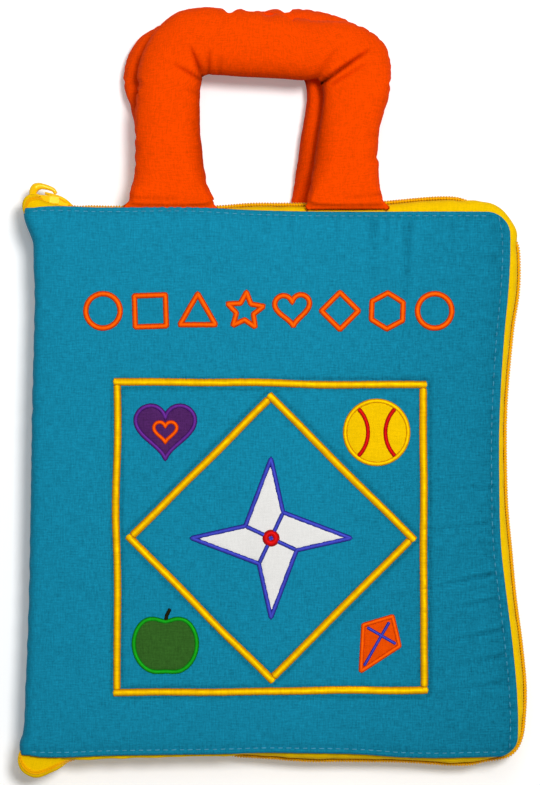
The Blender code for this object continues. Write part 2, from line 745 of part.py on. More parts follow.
def apple(radius, sides):
    """Round fruit with a dent at its top and a smaller one below."""
    points = []
    for index in range(sides):
        angle = 2 * math.pi * (index + 0.5) / sides
        top = max(math.sin(angle), 0.0) ** 8
        under = max(-math.sin(angle), 0.0) ** 12
        reach = radius * (1 - 0.3 * top - 0.12 * under)
        points.append((reach * math.cos(angle), reach * math.sin(angle)))
    return points


def kite(radius):
    """Kite that leans to the right, its long end down to the left."""
    corners = ((0.0, 1.0), (-0.66, 0.3), (0.0, -1.0), (0.66, 0.3))
    lean = math.radians(-30)
    return [
        (radius * (x * math.cos(lean) - y * math.sin(lean)), radius * (x * math.sin(lean) + y * math.cos(lean)))
        for x, y in corners
    ]


def pinwheel(outer_radius, inner_radius, blades):
    """Toy windmill whose blades all lean the same way."""
    outline = []
    for index in range(blades):
        angle = 2 * math.pi * index / blades
        for reach, turn_share in ((outer_radius, 0.0), (inner_radius, 0.72)):
            turned = angle + 2 * math.pi * turn_share / blades
            outline.append((reach * math.cos(turned), reach * math.sin(turned)))
    return outline


def square(half, turn):
    """Corners of a square, turned by an angle in degrees from its sides along X and Y."""
    corners = []
    for index in range(4):
        angle = math.radians(turn + 45 + 90 * index)
        corners.append((half * math.sqrt(2) * math.cos(angle), half * math.sqrt(2) * math.sin(angle)))
    return corners


def make_cover_design(body):
    """Square and diamond borders with five generic patches on the front cover's flat middle."""
    low = BOOK_THICKNESS + GAP
    border_high = low + BORDER_HEIGHT
    patch_high = low + PATCH_HEIGHT
    place = (0, BORDER_Y, 0)
    outer_half = BORDER_SIZE / 2
    inner_half = outer_half - BORDER_WIDTH
    frame = holed_plate(square(outer_half, 0), square(inner_half, 0), low, border_high)
    add_piece("cover_square_border", frame, body, YELLOW_SATIN, place)
    diamond_half = (inner_half - GAP) * math.sqrt(0.5)
    hole_half = diamond_half - BORDER_WIDTH
    diamond = holed_plate(square(diamond_half, 45), square(hole_half, 45), low, border_high)
    add_piece("cover_diamond_border", diamond, body, YELLOW_SATIN, place)

    corner = inner_half * (1 - math.sqrt(0.5))
    reach = inner_half - corner
    patches = (
        ("pinwheel_patch", pinwheel(PINWHEEL_RADIUS, PINWHEEL_INNER, 4), 0, 0, WHITE_COTTON),
        ("heart_patch", heart(MOTIF_RADIUS, ROUND_SIDES), -1, 1, PURPLE_COTTON),
        ("ball_patch", circle(MOTIF_RADIUS, ROUND_SIDES), 1, 1, YELLOW_COTTON),
        ("apple_patch", apple(MOTIF_RADIUS, 2 * ROUND_SIDES), -1, -1, GREEN_COTTON),
        ("kite_patch", kite(MOTIF_RADIUS), 1, -1, ORANGE_COTTON),
    )
    for name, outline, column, row, look in patches:
        spot = (column * reach, BORDER_Y + row * reach, 0)
        add_piece(name, plate(outline, low, patch_high), body, look, spot)


def make_bodies():
    """Empties on the joints' axes, one for each group of pieces that moves together."""
    back_cover = make_body("back_cover", (0, 0, 0))
    spine = make_body("spine", (-SPINE_SIDE, 0, 0), back_cover)
    bodies = {"back_cover": back_cover, "spine": spine}
    bodies["front_cover"] = make_body("front_cover", (-SPINE_SIDE, 0, BOOK_THICKNESS), spine)
    for index, height in enumerate(LEAF_HEIGHTS):
        bodies[f"leaf_{index + 1}"] = make_body(f"leaf_{index + 1}", (LEAF_AXIS_X, 0, height), spine)
    pointer_place = (LEAF_MIDDLE, DIAL_Y, LEAF_HEIGHTS[0])
    bodies["pointer"] = make_body("pointer", pointer_place, bodies["leaf_1"])
    for index, x in enumerate(bead_places()):
        place = (x, BEAD_ROW_Y, LEAF_HEIGHTS[2])
        bodies[f"bead_{index + 1}"] = make_body(f"bead_{index + 1}", place, bodies["leaf_3"])
    slider = make_body("zip_slider", (SLIDER_X, ZIP_Y, ZIP_Z), back_cover)
    bodies["zip_slider"] = slider
    bodies["zip_pull"] = make_body("zip_pull", (PULL_X, PULL_Y, ZIP_Z), slider)
    handle_y = COVER_TOP + GAP
    front_edge = FRONT_INNER_Z + FRONT_CROWN_SHARES[0][1] * FRONT_THICKNESS + GAP
    bodies["front_handle"] = make_body("front_handle", (0, handle_y, front_edge), bodies["front_cover"])
    bodies["back_handle"] = make_body("back_handle", (0, handle_y, 0), back_cover)
    return bodies


def build():
    clear_scene()
    bodies = make_bodies()
    padded_cover(
        "back_cover", bodies["back_cover"], BACK_CROWN_SHARES, BACK_SHOULDER,
        BACK_THICKNESS, BACK_THICKNESS, -1,
    )
    padded_cover(
        "front_cover", bodies["front_cover"], FRONT_CROWN_SHARES, FRONT_SHOULDER,
        FRONT_THICKNESS, FRONT_INNER_Z, 1,
    )
    make_spine(bodies["spine"])
    for number, look in enumerate((CREAM_COTTON, GREEN_COTTON, WHITE_COTTON, PURPLE_COTTON), 1):
        make_leaf(number, bodies[f"leaf_{number}"], look)
    make_dial(bodies["leaf_1"], bodies["pointer"])
    make_beads(bodies["leaf_3"], [bodies[f"bead_{index + 1}"] for index in range(BEAD_COUNT)])
    make_zip_half("front", bodies["front_cover"], 1)
    make_zip_half("back", bodies["back_cover"], -1)
    make_slider(bodies["zip_slider"])
    make_pull(bodies["zip_pull"])
    front_base = FRONT_INNER_Z + (COVER_LINING + FRONT_CROWN_SHARES[0][1] * FRONT_THICKNESS) / 2
    back_base = BACK_THICKNESS - (COVER_LINING + BACK_CROWN_SHARES[0][1] * BACK_THICKNESS) / 2
    back_full = HANDLE_REST + HANDLE_THICKNESS / 2
    front_full = back_full + HANDLE_THICKNESS + GAP
    make_handle("front_handle", bodies["front_handle"], HANDLE_LEG_X, front_base, front_full)
    back_leg = HANDLE_LEG_X - BACK_HANDLE_SHIFT
    make_handle("back_handle", bodies["back_handle"], back_leg, back_base, back_full)
    make_cover_design(bodies["front_cover"])


build()
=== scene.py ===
"""Looks of the closed cloth quiet book: quilted cloth, stitching, zip and stuffed handles.

Lengths are in millimetres in the part's own frame, and MM turns them into the scene's metres.
Each cloth piece keeps its flat place in the attribute "cloth", which its weave follows.
"""
import math

import bpy
import numpy as np
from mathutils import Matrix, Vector
from mathutils.geometry import delaunay_2d_cdt


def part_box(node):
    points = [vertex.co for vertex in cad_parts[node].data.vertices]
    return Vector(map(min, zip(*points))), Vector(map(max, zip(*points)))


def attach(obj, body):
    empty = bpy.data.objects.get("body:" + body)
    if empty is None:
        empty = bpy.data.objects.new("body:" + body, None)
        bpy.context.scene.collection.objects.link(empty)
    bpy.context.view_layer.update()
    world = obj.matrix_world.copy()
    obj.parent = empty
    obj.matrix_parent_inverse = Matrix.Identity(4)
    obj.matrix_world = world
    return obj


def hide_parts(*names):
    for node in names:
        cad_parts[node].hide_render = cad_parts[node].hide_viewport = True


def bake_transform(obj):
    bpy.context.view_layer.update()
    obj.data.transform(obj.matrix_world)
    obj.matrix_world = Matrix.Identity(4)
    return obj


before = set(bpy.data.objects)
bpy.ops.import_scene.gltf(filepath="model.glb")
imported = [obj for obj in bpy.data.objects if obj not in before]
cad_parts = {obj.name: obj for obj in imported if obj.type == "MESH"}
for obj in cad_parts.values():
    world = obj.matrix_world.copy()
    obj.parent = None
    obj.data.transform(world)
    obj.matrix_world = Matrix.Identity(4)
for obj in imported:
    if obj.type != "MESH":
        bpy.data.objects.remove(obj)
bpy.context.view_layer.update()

MM = 0.001

# The photograph: its size in pixels, the pixel that shows the part's origin, and one pixel's width.
PHOTO_WIDTH = 540
PHOTO_HEIGHT = 785
ORIGIN_PIXEL = (271, 482)
PIXEL = 0.46
CAMERA_HEIGHT = 1500
SENSOR = 36

# Corners of the square border in the photograph's pixels, from the top left one on clockwise.
BORDER_PIXELS = ((117.0, 381.8), (423.2, 384.8), (424.4, 690.0), (116.8, 692.8))

# Cover outline as pairs: the place along the side, and how far out the edge lies there.
LEFT_SIDE = (
    (-128, -115.2), (-122.5, -115.6), (-117, -114.2), (-97.5, -113.0), (-64.4, -111.6), (-17.5, -110.6),
    (37.7, -109.7), (70.0, -108.9), (88.3, -108.6), (97.5, -109.0), (104.0, -109.2), (108.5, -109.2),
    (111.3, -109.5), (114.5, -110.7), (117.6, -112.0), (122.0, -113.4), (127, -113.9),
)
RIGHT_SIDE = (
    (-128, 113.4), (-120, 113.8), (-111.8, 114.0), (-97.5, 113.5), (-75.4, 111.5), (-53.4, 108.8),
    (-31.3, 106.3), (1.8, 105.3), (23.9, 105.3), (46.0, 106.2), (68.1, 107.7), (90.2, 109.7),
    (104.9, 110.4), (114.1, 110.4), (127, 110.4),
)
TOP_SIDE = (
    (-113, 126.5), (-107.2, 127.0), (-78.7, 126.6), (-32.7, 126.7), (-14.3, 125.6), (13.3, 124.8),
    (45.0, 124.6), (77.7, 124.7), (100.7, 124.6), (114, 124.2),
)
BOTTOM_SIDE = (
    (-118, -125.6), (-110, -126.9), (-100, -127.2), (-90, -127.0), (-78.7, -126.5), (-57, -126.1),
    (-32.7, -125.8), (-20, -125.6), (-5.1, -125.1), (13.3, -125.2), (45, -126.0), (59.3, -127.1),
    (78, -127.5), (96.1, -127.1), (114, -126.8),
)
TOP_RIGHT_RADIUS = 10.5
BOTTOM_RIGHT_RADIUS = 9.0
SPINE_CORNER_RADIUS = 2.0
SPINE_BEND = 9.0

# How far the zip's ridge stands out past the cover's edge, by the place along each side.
TOP_RIDGE = (
    (-86, 0.6), (-60, 0.3), (-25, 0.9), (-10, 2.9), (4, 3.4), (20, 3.7), (50, 4.4), (59, 5.2),
    (69, 6.1), (78, 6.6), (85, 6.4), (91.5, 5.1), (96, 3.9), (100.7, 3.6), (105, 2.6), (108, 1.8),
    (113, 1.2),
)
RIGHT_RIDGE = (
    (-127, 1.5), (-120, 1.8), (-116, 2.4), (-109, 3.1), (-100, 4.0), (-77, 4.4), (-54, 4.2), (-31, 4.6),
    (-8, 3.5), (15, 3.2), (38, 3.1), (61, 3.7), (74, 4.1), (84, 4.8), (93, 4.9), (102, 4.4), (107, 4.0),
    (112, 3.0), (118, 1.6), (122, 1.2), (127, 1.2),
)
BOTTOM_RIDGE = (
    (-88, 1.2), (-79, 0.9), (-65, 0.7), (-51, 0.6), (-24, 0.4), (-10, 1.6), (4, 2.7), (18, 3.5), (32, 3.2),
    (45, 2.8), (59, 1.9), (68, 2.0), (78, 2.7), (88, 3.2), (92, 3.1), (98, 1.8), (105, 1.0), (112, 1.2),
)

# Ends of the zip in the photograph's pixels: the tape's outer edge, then the line where it is sewn.
ZIP_START_PIXELS = (
    (28.5, 221.0, 35.0, 222.0), (25.6, 215.0, 32.4, 219.0), (23.2, 210.0, 31.0, 217.0),
    (23.3, 206.0, 31.0, 215.5), (24.4, 201.5, 31.5, 214.5), (27.5, 196.5, 33.0, 214.0),
    (31.5, 194.2, 36.0, 213.5), (38.0, 195.0, 41.0, 213.5), (50.0, 199.0, 51.0, 213.5),
    (62.0, 202.0, 62.0, 213.5), (71.0, 205.0, 71.0, 213.5), (80.0, 206.3, 80.0, 213.5),
)
ZIP_END_PIXELS = (
    (84.0, 759.4, 84.0, 749.0), (75.3, 761.6, 75.0, 749.0), (66.0, 763.8, 66.0, 749.0),
    (55.0, 769.6, 56.0, 749.0), (45.0, 774.0, 47.0, 749.0), (34.0, 775.9, 39.0, 748.8),
    (25.3, 771.5, 33.0, 748.0), (20.2, 765.0, 29.5, 746.5), (18.7, 759.0, 27.5, 744.5),
    (19.6, 753.0, 26.5, 742.5), (22.6, 747.5, 28.5, 739.5), (26.5, 744.0, 32.0, 737.5),
)

# The slider and its pull in the photograph's pixels, as lines along their thin bars.
OUTER_CHEEK_PIXELS = (
    (45.0, 193.0), (50.0, 194.4), (56.0, 196.2), (62.0, 198.6), (67.5, 202.2), (71.5, 205.6),
)
INNER_CHEEK_PIXELS = ((34.0, 205.6), (45.0, 206.3), (56.0, 206.6), (66.0, 207.2), (72.0, 208.0))
BLOCK_PIXELS = ((40.8, 199.2), (49.0, 199.8), (59.3, 200.9))
NECK_PIXELS = ((38.0, 201.4), (46.0, 201.8), (58.0, 201.8), (64.0, 203.0), (68.5, 205.2))
PULL_PIXELS = (
    (32.6, 195.0), (33.2, 190.6), (35.6, 187.2), (39.4, 186.0), (44.0, 186.5), (49.0, 187.9),
    (53.2, 189.8), (55.7, 193.4),
)
PULL_FOOT_PIXELS = ((32.6, 194.6), (37.0, 195.4), (41.5, 196.4))

# Covers: a rectangle about as large, the rolled edge, padding and stitch rows.
COVER_LEFT = -110
COVER_LOW = -125
COVER_WIDTH = 218
COVER_LENGTH = 249
EDGE_ROLL = 1.6
CLOTH_STEP = 1.15
LINING_STEP = 4.5
SHOULDER = 25.0
BACK_SHOULDER = 5.0
ROLL_ACROSS = 4.6
EASE_WIDTH = 30
ROLL_DOWN = 4.2
HEM_WIDTH = 8.0
HEM_SHARES = (0.35, 1.0)
ROLL_STEPS = 7
SPINE_STEPS = 9
LINING_CLEARANCE = 0.75
STITCH_PITCH = 3.8
STITCH_LENGTH = 2.9
STITCH_RADIUS = 0.19
TOP_STITCH_INSET = 2.1
RIGHT_STITCH_INSET = 3.7
BOTTOM_STITCH_INSET = 2.5

# Embroidery.
SATIN_PITCH = 0.5
BORDER_WIDTH = 3.7
BORDER_HEIGHT = 1.05
DESIGN_Y = -25.8
ROW_Y = 78.7
ROW_LEFT = -77.3
ROW_RIGHT = 75.3
ROW_SIZE = 18.5
ROW_STROKE = 2.7
EDGE_STROKE = 2.3
MOTIF_RADIUS = 14.5
WHEEL_TIP = 36.5
WHEEL_WAIST = 13.0
PATCH_LIFT = 0.35
PATCH_PUFF = 0.3

# Handles: centre of the sewn ends, width of the flat cloth, and the outline that they take when stuffed.
HANDLE_BASE_Y = 125.2
HANDLE_CLOTH_WIDTH = 39.0
HANDLE_STEP = 1.7
SIMULATION_SCALE = 20.0
SIMULATION_FRAMES = 30
HANDLE_RISE = 26
HANDLE_CLOTH = {
    "quality": 8, "mass": 0.3, "tension_stiffness": 25, "compression_stiffness": 25, "shear_stiffness": 12,
    "bending_stiffness": 3, "tension_damping": 10, "compression_damping": 10, "shear_damping": 10,
    "bending_damping": 2, "air_damping": 3,
}
FRONT_HANDLE_OUTER = (
    (52.3, 125.2), (51.4, 131.0), (50.0, 137.0), (49.4, 152.0), (50.1, 160.0), (52.0, 170.0), (55.4, 178.5),
    (56.8, 186.5), (55.6, 196.0), (51.4, 204.0), (45.9, 207.6), (39.6, 210.6), (33.0, 212.8), (24.0, 212.6),
    (14.0, 213.0), (7.0, 215.0), (-1.0, 216.4), (-9.0, 216.8), (-20.0, 217.8), (-32.2, 219.0), (-43.5, 216.8),
    (-54.0, 208.0), (-59.6, 199.0), (-62.6, 187.5), (-63.0, 172.0), (-62.9, 150.0), (-62.8, 142.0),
    (-63.8, 137.5), (-65.0, 133.4), (-65.6, 128.5), (-65.8, 125.2),
)
FRONT_HANDLE_INNER = (
    (16.6, 125.2), (16.8, 128.0), (18.6, 140.0), (20.6, 155.0), (22.6, 170.0), (23.9, 183.6),
    (10.0, 184.9), (-10.0, 186.0), (-31.0, 187.2), (-32.2, 176.0), (-32.3, 160.0), (-31.2, 148.0),
    (-29.4, 136.5), (-26.2, 130.0), (-26.0, 125.2),
)
BACK_HANDLE_OUTER = (
    (47.0, 125.2), (46.6, 134.0), (46.0, 150.0), (48.5, 170.0), (50.5, 186.0), (49.0, 196.0), (44.5, 204.0),
    (39.2, 210.2), (33.0, 213.9), (24.5, 216.2), (13.7, 217.6), (5.0, 217.8), (-4.0, 216.8), (-14.0, 215.2),
    (-26.0, 214.8), (-38.0, 214.2), (-50.0, 210.8), (-59.8, 205.6), (-64.4, 200.0), (-67.9, 193.0),
    (-69.2, 186.5), (-68.2, 179.0), (-64.0, 171.0), (-62.0, 155.0), (-62.4, 140.0), (-65.0, 125.2),
)
BACK_HANDLE_INNER = (
    (9.2, 125.2), (10.9, 140.0), (13.5, 160.0), (15.4, 172.0), (16.9, 185.5), (4.0, 187.0), (-12.0, 188.0),
    (-30.0, 188.5), (-34.2, 176.0), (-34.4, 160.0), (-33.4, 148.0), (-32.4, 136.5), (-31.6, 125.2),
)

# Folds on the front handle: start, end, half width and depth.
FRONT_HANDLE_CREASES = (
    ((24.0, 184.6), (47.0, 200.6), 0.55, 4.6), ((28.5, 183.6), (46.0, 194.0), 0.5, 1.6),
    ((21.0, 186.0), (31.0, 201.0), 0.9, 0.9), ((-31.8, 187.4), (-37.5, 201.5), 0.6, 2.6),
    ((-33.0, 186.0), (-46.0, 193.0), 0.6, 2.0), ((-29.0, 188.0), (-28.5, 200.0), 0.6, 1.6),
    ((-24.0, 188.0), (-23.0, 198.0), 0.8, 0.8), ((-34.0, 179.0), (-41.0, 181.5), 0.7, 0.7),
    ((-62.0, 131.0), (-36.0, 130.4), 0.7, 0.9), ((50.6, 132.6), (32.0, 130.6), 0.7, 0.9),
    ((49.8, 150.0), (41.0, 149.0), 0.8, 0.5), ((50.0, 160.0), (41.0, 158.6), 0.8, 0.5),
    ((54.0, 176.0), (44.0, 175.4), 0.8, 0.5),
)
HANDLE_CENTRE = np.array([-5.0, 124.7])

# Zip.
TAPE_INSET = 3.0
TAPE_THICKNESS = 0.56
TAPE_STEPS = 15
COIL_RADIUS = 0.95
COIL_WIRE = 0.42
COIL_PITCH = 1.3
ZIP_STEP = 1.5
TONGUE_COIL_INSET = 1.6
TONGUE_HEIGHT = 26.4

# The back tape in the end tongues: steps along it, share of the way out, millimetres back in, and rise.
TONGUE_PLACES = (0, 0.2, 0.4, 0.6, 0.75, 0.85, 1)
TONGUE_REACH = (0, 0.6, 0.9, 1.0, 1.0, 1.0, 1.0)
TONGUE_RETURN = (0, 0, 0, 0, 0.2, 1.0, 2.4)
TONGUE_RISE = (0, 0.05, 0.3, 0.7, 0.92, 1.0, 1.0)

# Stage: lamps as place, width and watts, the point they face, and the floor and surround.
KEY_LAMP = ((400, 415, 1960), 420, 27.8)
NEAR_LAMP = ((40, 330, 900), 360, 1.5)
LAMP_TARGET = (0, 40, 15)
SURROUND_LIGHT = 0.17
FLOOR_WHITE = (245, 245, 245)
FLOOR_GLOW = 0.2
FLOOR_HALF = 6000
FLOOR_Z = -0.2

# Colours as seen, from 0 to 255.
TEAL = (21, 134, 166)
PALE_TEAL = (80, 156, 184)
ORANGE = (250, 74, 0)
TAPE_YELLOW = (248, 200, 4)
SATIN_YELLOW = (255, 204, 3)
SATIN_ORANGE = (255, 98, 8)
COIL_YELLOW = (240, 176, 6)
ENAMEL_YELLOW = (252, 200, 4)
WHITE = (236, 235, 232)
CREAM = (238, 226, 198)
GREEN = (52, 98, 36)
LEAF_GREEN = (26, 164, 30)
PURPLE = (80, 38, 98)
SATIN_PURPLE = (102, 44, 144)
ORANGE_PATCH = (236, 80, 4)
BLUE_THREAD = (68, 74, 190)
RED = (218, 22, 22)
DARK_THREAD = (34, 32, 10)


def linear(colour):
    """Linear colour of one that is given from 0 to 255 as seen."""
    shares = [c / 255 for c in colour]
    return tuple(s / 12.92 if s <= 0.04045 else ((s + 0.055) / 1.055) ** 2.4 for s in shares)


def at_pixel(px, py):
    """Place on the front cover that a pixel of the photograph shows."""
    return ((px - ORIGIN_PIXEL[0]) * PIXEL, (ORIGIN_PIXEL[1] - py) * PIXEL)


def camera_middle():
    return np.array(at_pixel(PHOTO_WIDTH / 2, PHOTO_HEIGHT / 2))


def at_depth(points, height):
    """Places at a given height that the camera sees where it sees the given places of the front face."""
    growth = 1 + (FRONT_HIGH - height) / CAMERA_HEIGHT
    return camera_middle() + (np.asarray(points, float) - camera_middle()) * growth


def pixels_at_depth(pixels, height):
    return at_depth([at_pixel(px, py) for px, py in pixels], height)


def node_box(node):
    low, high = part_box(node)
    return np.array(low) / MM, np.array(high) / MM


def eased(t, span, start, end, start_slope, end_slope):
    """Value at share t of a span whose ends have the given values and slopes."""
    first = (1 + 2 * t) * (1 - t) ** 2 * start + t * (1 - t) ** 2 * span * start_slope
    second = t * t * (3 - 2 * t) * end + t * t * (t - 1) * span * end_slope
    return first + second


def smooth_curve(table):
    """Smooth function through a table of pairs of a place and a value."""
    places, values = np.array(table, float).T
    slopes = np.gradient(values, places)

    def curve(place):
        place = np.clip(place, places[0], places[-1])
        left = np.clip(np.searchsorted(places, place, side="right") - 1, 0, len(places) - 2)
        span = places[left + 1] - places[left]
        t = (place - places[left]) / span
        return eased(t, span, values[left], values[left + 1], slopes[left], slopes[left + 1])

    return curve


FRONT_LOW = node_box("front_cover_lining")[0][2]
FRONT_HIGH = node_box("front_cover_fabric")[1][2]
BACK_HIGH = node_box("back_cover_lining")[1][2]
MIDDLE_Z = (FRONT_LOW + BACK_HIGH) / 2
COVER_EDGE_SHARE = 0.6
BACK_EDGE_SHARE = 0.76

left_side = smooth_curve(LEFT_SIDE)
right_side = smooth_curve(RIGHT_SIDE)
top_side = smooth_curve(TOP_SIDE)
bottom_side = smooth_curve(BOTTOM_SIDE)


def waves(seed, size, count=14):
    """Smooth bumps of about one size: a function of x and y, mostly between -1 and 1."""
    random = np.random.default_rng(seed)
    turns = random.uniform(0, 2 * math.pi, count)
    lengths = size * random.uniform(0.7, 1.5, count)
    phases = random.uniform(0, 2 * math.pi, count)

    def value(x, y=0.0):
        total = 0.0
        for turn, length, phase in zip(turns, lengths, phases):
            along = x * math.cos(turn) + y * math.sin(turn)
            total = total + np.sin(2 * math.pi * along / length + phase)
        return total / math.sqrt(count)

    return value


def ripple(seed, size, count=9):
    """Smooth waves along a line, mostly between -1 and 1."""
    random = np.random.default_rng(seed)
    lengths = size * random.uniform(0.6, 1.7, count)
    phases = random.uniform(0, 2 * math.pi, count)

    def value(place):
        total = 0.0
        for length, phase in zip(lengths, phases):
            total = total + np.sin(2 * math.pi * place / length + phase)
        return total / math.sqrt(count)

    return value


def bell(distance, width):
    return np.exp(-((distance / width) ** 2))


def add_object(name, mesh, material=None):
    piece = bpy.data.objects.new(name, mesh)
    bpy.context.scene.collection.objects.link(piece)
    if material:
        mesh.materials.append(material)
    return piece


def new_mesh(name, points, faces):
    """Mesh from points in millimetres."""
    mesh = bpy.data.meshes.new(name)
    mesh.from_pydata((np.asarray(points, float) * MM).tolist(), [], [list(face) for face in faces])
    mesh.update()
    return mesh


def read_vectors(data, key):
    """One vector a row from a mesh's data."""
    found = np.zeros(len(data) * 3)
    data.foreach_get(key, found)
    return found.reshape(-1, 3)


def write_vectors(mesh, name, vectors):
    layer = mesh.attributes.new(name, "FLOAT_VECTOR", "POINT")
    layer.data.foreach_set("vector", np.asarray(vectors, float).ravel())


def make_piece(name, points, faces, material, cloth=None, normals=None, **values):
    """Smooth mesh object with its cloth places and, under each further name, one value a point."""
    mesh = new_mesh(name, points, faces)
    mesh.shade_smooth()
    if cloth is not None:
        flat = np.zeros((len(points), 3))
        flat[:, : np.shape(cloth)[1]] = cloth
        write_vectors(mesh, "cloth", flat * MM)
    for key, value in values.items():
        layer = mesh.attributes.new(key, "FLOAT", "POINT")
        layer.data.foreach_set("value", np.asarray(value, float))
    if normals is not None:
        mesh.normals_split_custom_set_from_vertices(normals.tolist())
    return add_object(name, mesh, material)


def grid_faces(rows, columns, wrap_rows=False, wrap_columns=False, flip=False):
    """Quads between the points of a grid whose rows follow one another."""
    faces = []
    for i in range(rows if wrap_rows else rows - 1):
        for j in range(columns if wrap_columns else columns - 1):
            a = i * columns + j
            b = i * columns + (j + 1) % columns
            c = ((i + 1) % rows) * columns + (j + 1) % columns
            d = ((i + 1) % rows) * columns + j
            faces.append((d, c, b, a) if flip else (a, b, c, d))
    return faces


def capped_faces(rows, columns, flip=False):
    """Faces of a closed tube: the quads round it and a cap at either end."""
    first = tuple(range(columns))
    last = tuple(range((rows - 1) * columns, rows * columns))
    faces = grid_faces(rows, columns, wrap_columns=True, flip=flip)
    return faces + ([first, last[::-1]] if flip else [first[::-1], last])


def joined(parts):
    """Several parts as one: their points, their faces and any further values of each point."""
    points, faces, *values = zip(*parts)
    starts = np.cumsum([0] + [len(part) for part in points]).tolist()
    moved = [tuple(start + k for k in face) for start, part in zip(starts, faces) for face in part]
    return np.concatenate(points), moved, *(np.concatenate(value) for value in values)


def two_layers(points, faces, on_edge):
    """Two layers of cloth that share their edge: the lower one's own points, all faces and flat places."""
    free = np.where(~on_edge)[0]
    below = np.arange(len(points))
    below[free] = len(points) + np.arange(len(free))
    return free, np.vstack([faces, below[faces][:, ::-1]]), np.vstack([points, points[free]])


def resample(path, step, closed=False):
    """The path's points again, evenly spaced."""
    path = np.asarray(path, float)
    if closed:
        path = np.vstack([path, path[:1]])
    lengths = path_lengths(path)
    count = max(3, int(round(lengths[-1] / step)))
    places = np.linspace(0, lengths[-1], count + 1)
    if closed:
        places = places[:-1]
    return np.stack([np.interp(places, lengths, path[:, k]) for k in range(path.shape[1])], axis=1)


def directions(path, closed=False):
    """Unit directions along a flat path."""
    if closed:
        ahead = np.roll(path, -1, axis=0) - np.roll(path, 1, axis=0)
    else:
        ahead = np.gradient(path, axis=0)
    ahead = ahead[:, :2]
    return ahead / np.maximum(np.linalg.norm(ahead, axis=1), 1e-9)[:, None]


def leftward(ahead):
    return np.stack([-ahead[:, 1], ahead[:, 0]], axis=1)


def path_lengths(path):
    return np.r_[0, np.cumsum(np.linalg.norm(np.diff(path, axis=0), axis=1))]


def relaxed(rows):
    """Rows evened out along their line, with both ends kept."""
    for _ in range(3):
        rows[1:-1] = (rows[:-2] + 2 * rows[1:-1] + rows[2:]) / 4
    return rows


# Materials


def put(tree, socket, value):
    if isinstance(value, bpy.types.NodeSocket):
        tree.links.new(value, socket)
    else:
        socket.default_value = value


def add_node(tree, kind, inputs=None, **settings):
    """New shader node; an input is a value or another node's output."""
    node = tree.nodes.new("ShaderNode" + kind)
    for key, value in settings.items():
        setattr(node, key, value)
    for key, value in (inputs or {}).items():
        put(tree, node.inputs[key], value)
    return node


class Graph:
    """A material's nodes, joined as they are made."""

    def __init__(self, name, colour, roughness):
        self.material = bpy.data.materials.new(name)
        self.material.use_nodes = True
        self.tree = self.material.node_tree
        self.shader = self.tree.nodes["Principled BSDF"]
        self.set(Base_Color=(*linear(colour), 1), Roughness=roughness)

    def add(self, kind, inputs=None, **settings):
        return add_node(self.tree, kind, inputs, **settings)

    def set(self, **values):
        """Values or node outputs for the shader's sockets, named with _ for a space."""
        for key, value in values.items():
            put(self.tree, self.shader.inputs[key.replace("_", " ")], value)

    def maths(self, operation, first, second=0.0, third=0.0):
        inputs = {0: first, 1: second, 2: third}
        return self.add("Math", inputs, operation=operation).outputs[0]

    def attribute(self, name):
        return self.add("Attribute", attribute_name=name)

    def stretched_noise(self, vector, stretch, detail=2.0):
        """Noise whose grain has the given sizes in millimetres along x, y and z."""
        scale = tuple(1 / (size * MM) for size in stretch)
        place = self.add("VectorMath", {0: vector, 1: scale}, operation="MULTIPLY").outputs[0]
        noise = self.add("TexNoise", {"Vector": place, "Scale": 1.0, "Detail": detail})
        return noise.outputs["Fac"]

    def shade(self, colour, parts):
        """Linear base colour made lighter or darker by values, such as noises or painted shade, each with its
        strength.
        """
        total = 1.0
        for value, strength in parts:
            total = self.maths("MULTIPLY_ADD", self.maths("SUBTRACT", value, 0.5), strength, total)
        tinted = self.add("VectorMath", {0: colour, "Scale": total}, operation="SCALE")
        self.set(Base_Color=tinted.outputs[0])

    def bump(self, height, distance, strength=1.0):
        node = self.add("Bump", {"Height": height, "Distance": distance * MM, "Strength": strength})
        self.set(Normal=node.outputs[0])


def cotton(name, colour, pitch=0.42, streak=0.62, mottle=0.1, faded=False):
    """Plain-woven cotton: threads that cross, thick and thin ones, a soft nap, and painted shade from each
    piece's 'fold' value.
    """
    graph = Graph(name, colour, 0.9)
    flat = graph.attribute("cloth").outputs["Vector"]
    parts = graph.add("SeparateXYZ", {0: flat})
    turn = 2 * math.pi / (pitch * MM)
    warp = graph.maths("SINE", graph.maths("MULTIPLY", parts.outputs[0], turn))
    weft = graph.maths("SINE", graph.maths("MULTIPLY", parts.outputs[1], turn))
    crossing = graph.maths("MULTIPLY_ADD", graph.maths("MULTIPLY", warp, weft), 0.5, 0.5)
    upright = graph.stretched_noise(flat, (0.6, 5.0, 5.0))
    level = graph.stretched_noise(flat, (5.0, 0.6, 5.0))
    # Painted shade: a piece's 'fold' value darkens its cloth in creases, grooves and other places that lie in
    # shade.
    fold = graph.maths("SUBTRACT", 0.5, graph.attribute("fold").outputs["Fac"])
    nap = graph.stretched_noise(flat, (0.9, 0.9, 0.9))
    cloud = graph.stretched_noise(flat, (14.0, 14.0, 14.0), 3.0)
    tones = [(upright, streak), (level, streak), (nap, streak * 0.8)]
    tones += [(cloud, mottle), (crossing, 0.2), (fold, 1.0)]
    # Painted light falloff: the cloth is darker towards the right past x = 20 mm and lighter towards the top,
    # as the light falls on the cover.
    if faded:
        beyond = graph.maths("MAXIMUM", graph.maths("SUBTRACT", parts.outputs[0], 0.02), 0.0)
        tones.append((graph.maths("ADD", beyond, 0.5), -2.0))
        tones.append((graph.maths("ADD", parts.outputs[1], 0.5), 0.35))
    graph.shade(linear(colour), tones)
    height = graph.maths("ADD", crossing, graph.maths("ADD", upright, level))
    graph.bump(height, 0.06, 0.8)
    tint = (*linear(colour), 1)
    graph.set(Sheen_Weight=0.06, Sheen_Roughness=0.5, Sheen_Tint=tint)
    graph.set(Specular_IOR_Level=0.12, Specular_Tint=tint)
    return graph.material


